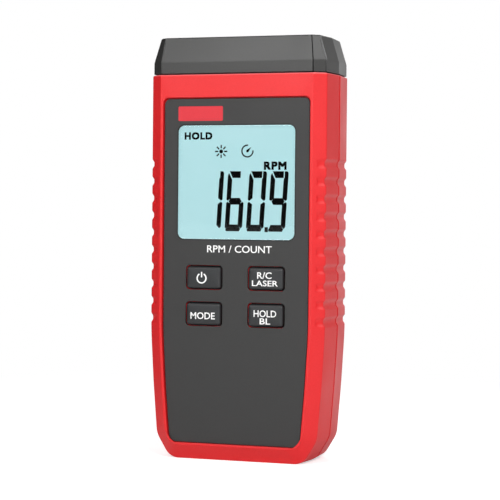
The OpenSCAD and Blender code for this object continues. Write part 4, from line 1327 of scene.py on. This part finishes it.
# white to the camera; polished faces see a dark front and a pale back and top
def makeWorld():
    scene.world = bpy.data.worlds.new("studio")
    scene.world.use_nodes = True
    tree = scene.world.node_tree
    place = splitXYZ(tree, addNode(tree, "ShaderNodeTexCoord").outputs["Generated"])
    behind = mapRange(tree, place["Y"], *studio["behind"], True)
    behind = calc(tree, "ADD", behind, mapRange(tree, place["Y"], *studio["farBehind"]))
    behind = calc(tree, "MULTIPLY", behind, mapRange(tree, place["Z"], *studio["dimming"], True))
    seen = calc(tree, "ADD", behind, mapRange(tree, place["Z"], *studio["above"], True))
    path = addNode(tree, "ShaderNodeLightPath").outputs
    polished = calc(tree, "MAXIMUM", path["Is Glossy Ray"], path["Is Transmission Ray"])
    levels = {"Factor": polished, 2: studio["worldFill"], 3: seen}
    level = addNode(tree, "ShaderNodeMix", levels, data_type="FLOAT").outputs[0]
    strength = calc(tree, "MAXIMUM", level, path["Is Camera Ray"])
    feedAll(tree, tree.nodes["Background"].inputs, {"Color": (1, 1, 1), "Strength": strength})


def flatSheet(name, corners, material):
    mesh = newMesh(name, corners, [(0, 1, 2, 3)])
    mesh.materials.append(material)
    return addObject(name, mesh)


def makeFloor():
    material, tree, _ = newMaterial("floorWhite")
    tree.nodes.clear()
    place, path = objectPlace(tree), addNode(tree, "ShaderNodeLightPath").outputs
    seen = path["Is Camera Ray"]
    grain = useGroup(tree, mouldGrain, 400.0)
    white = mixColour(tree, grain["Tone"], (0.80, 0.80, 0.80), (0.82, 0.82, 0.82))
    paper = addNode(tree, "ShaderNodeBsdfDiffuse", {"Color": white})
    behind = mapRange(tree, splitXYZ(tree, place)["Y"], *studio["floorMirrored"], True)
    lit = calc(tree, "MAXIMUM", seen, calc(tree, "MULTIPLY", path["Is Glossy Ray"], behind))
    glow = addNode(tree, "ShaderNodeEmission", {"Strength": calc(tree, "MULTIPLY", lit, studio["floorGlow"])})
    near = addNode(tree, "ShaderNodeAddShader", {0: paper.outputs[0], 1: glow.outputs[0]})
    plain = addNode(tree, "ShaderNodeEmission", {"Strength": seen})
    share = calc(tree, "MULTIPLY", mapRange(tree, lengthOf(tree, place), *studio["floorFade"], True), seen)
    blend = addNode(tree, "ShaderNodeMixShader", {0: share, 1: near.outputs[0], 2: plain.outputs[0]})
    addNode(tree, "ShaderNodeOutputMaterial", {"Surface": blend.outputs[0]})
    r = studio["floorReach"]
    return flatSheet("floor", [(-r, -r, 0), (r, -r, 0), (r, r, 0), (-r, r, 0)], material)


# a black card on the left, seen only in polished faces
def makeCard():
    material, tree, shader = newMaterial("blackCard")
    grain = useGroup(tree, mouldGrain, 200.0)
    black = mixColour(tree, grain["Tone"], (0.02, 0.02, 0.02), (0.022, 0.022, 0.022))
    feedAll(tree, shader, {"Base Color": black, "Roughness": 0.9})
    x, front, back, high = cardShape.values()
    card = flatSheet("leftCard", [(x, front, 0), (x, back, 0), (x, back, high), (x, front, high)], material)
    card.visible_camera = False
    card.visible_diffuse = False
    return card


def makeLamp(name, place, aim, size, watts):
    lamp = bpy.data.lights.new(name, "AREA")
    lamp.shape, lamp.energy = "ELLIPSE", watts
    lamp.size, lamp.size_y = size
    obj = addObject(name, lamp)
    obj.location = place
    obj.rotation_euler = (Vector(aim) - Vector(place)).to_track_quat("-Z", "Y").to_euler()


makeWorld()
floor, leftCard = makeFloor(), makeCard()
for name, settings in lamps.items():
    makeLamp(name, *settings)
print("studio made")
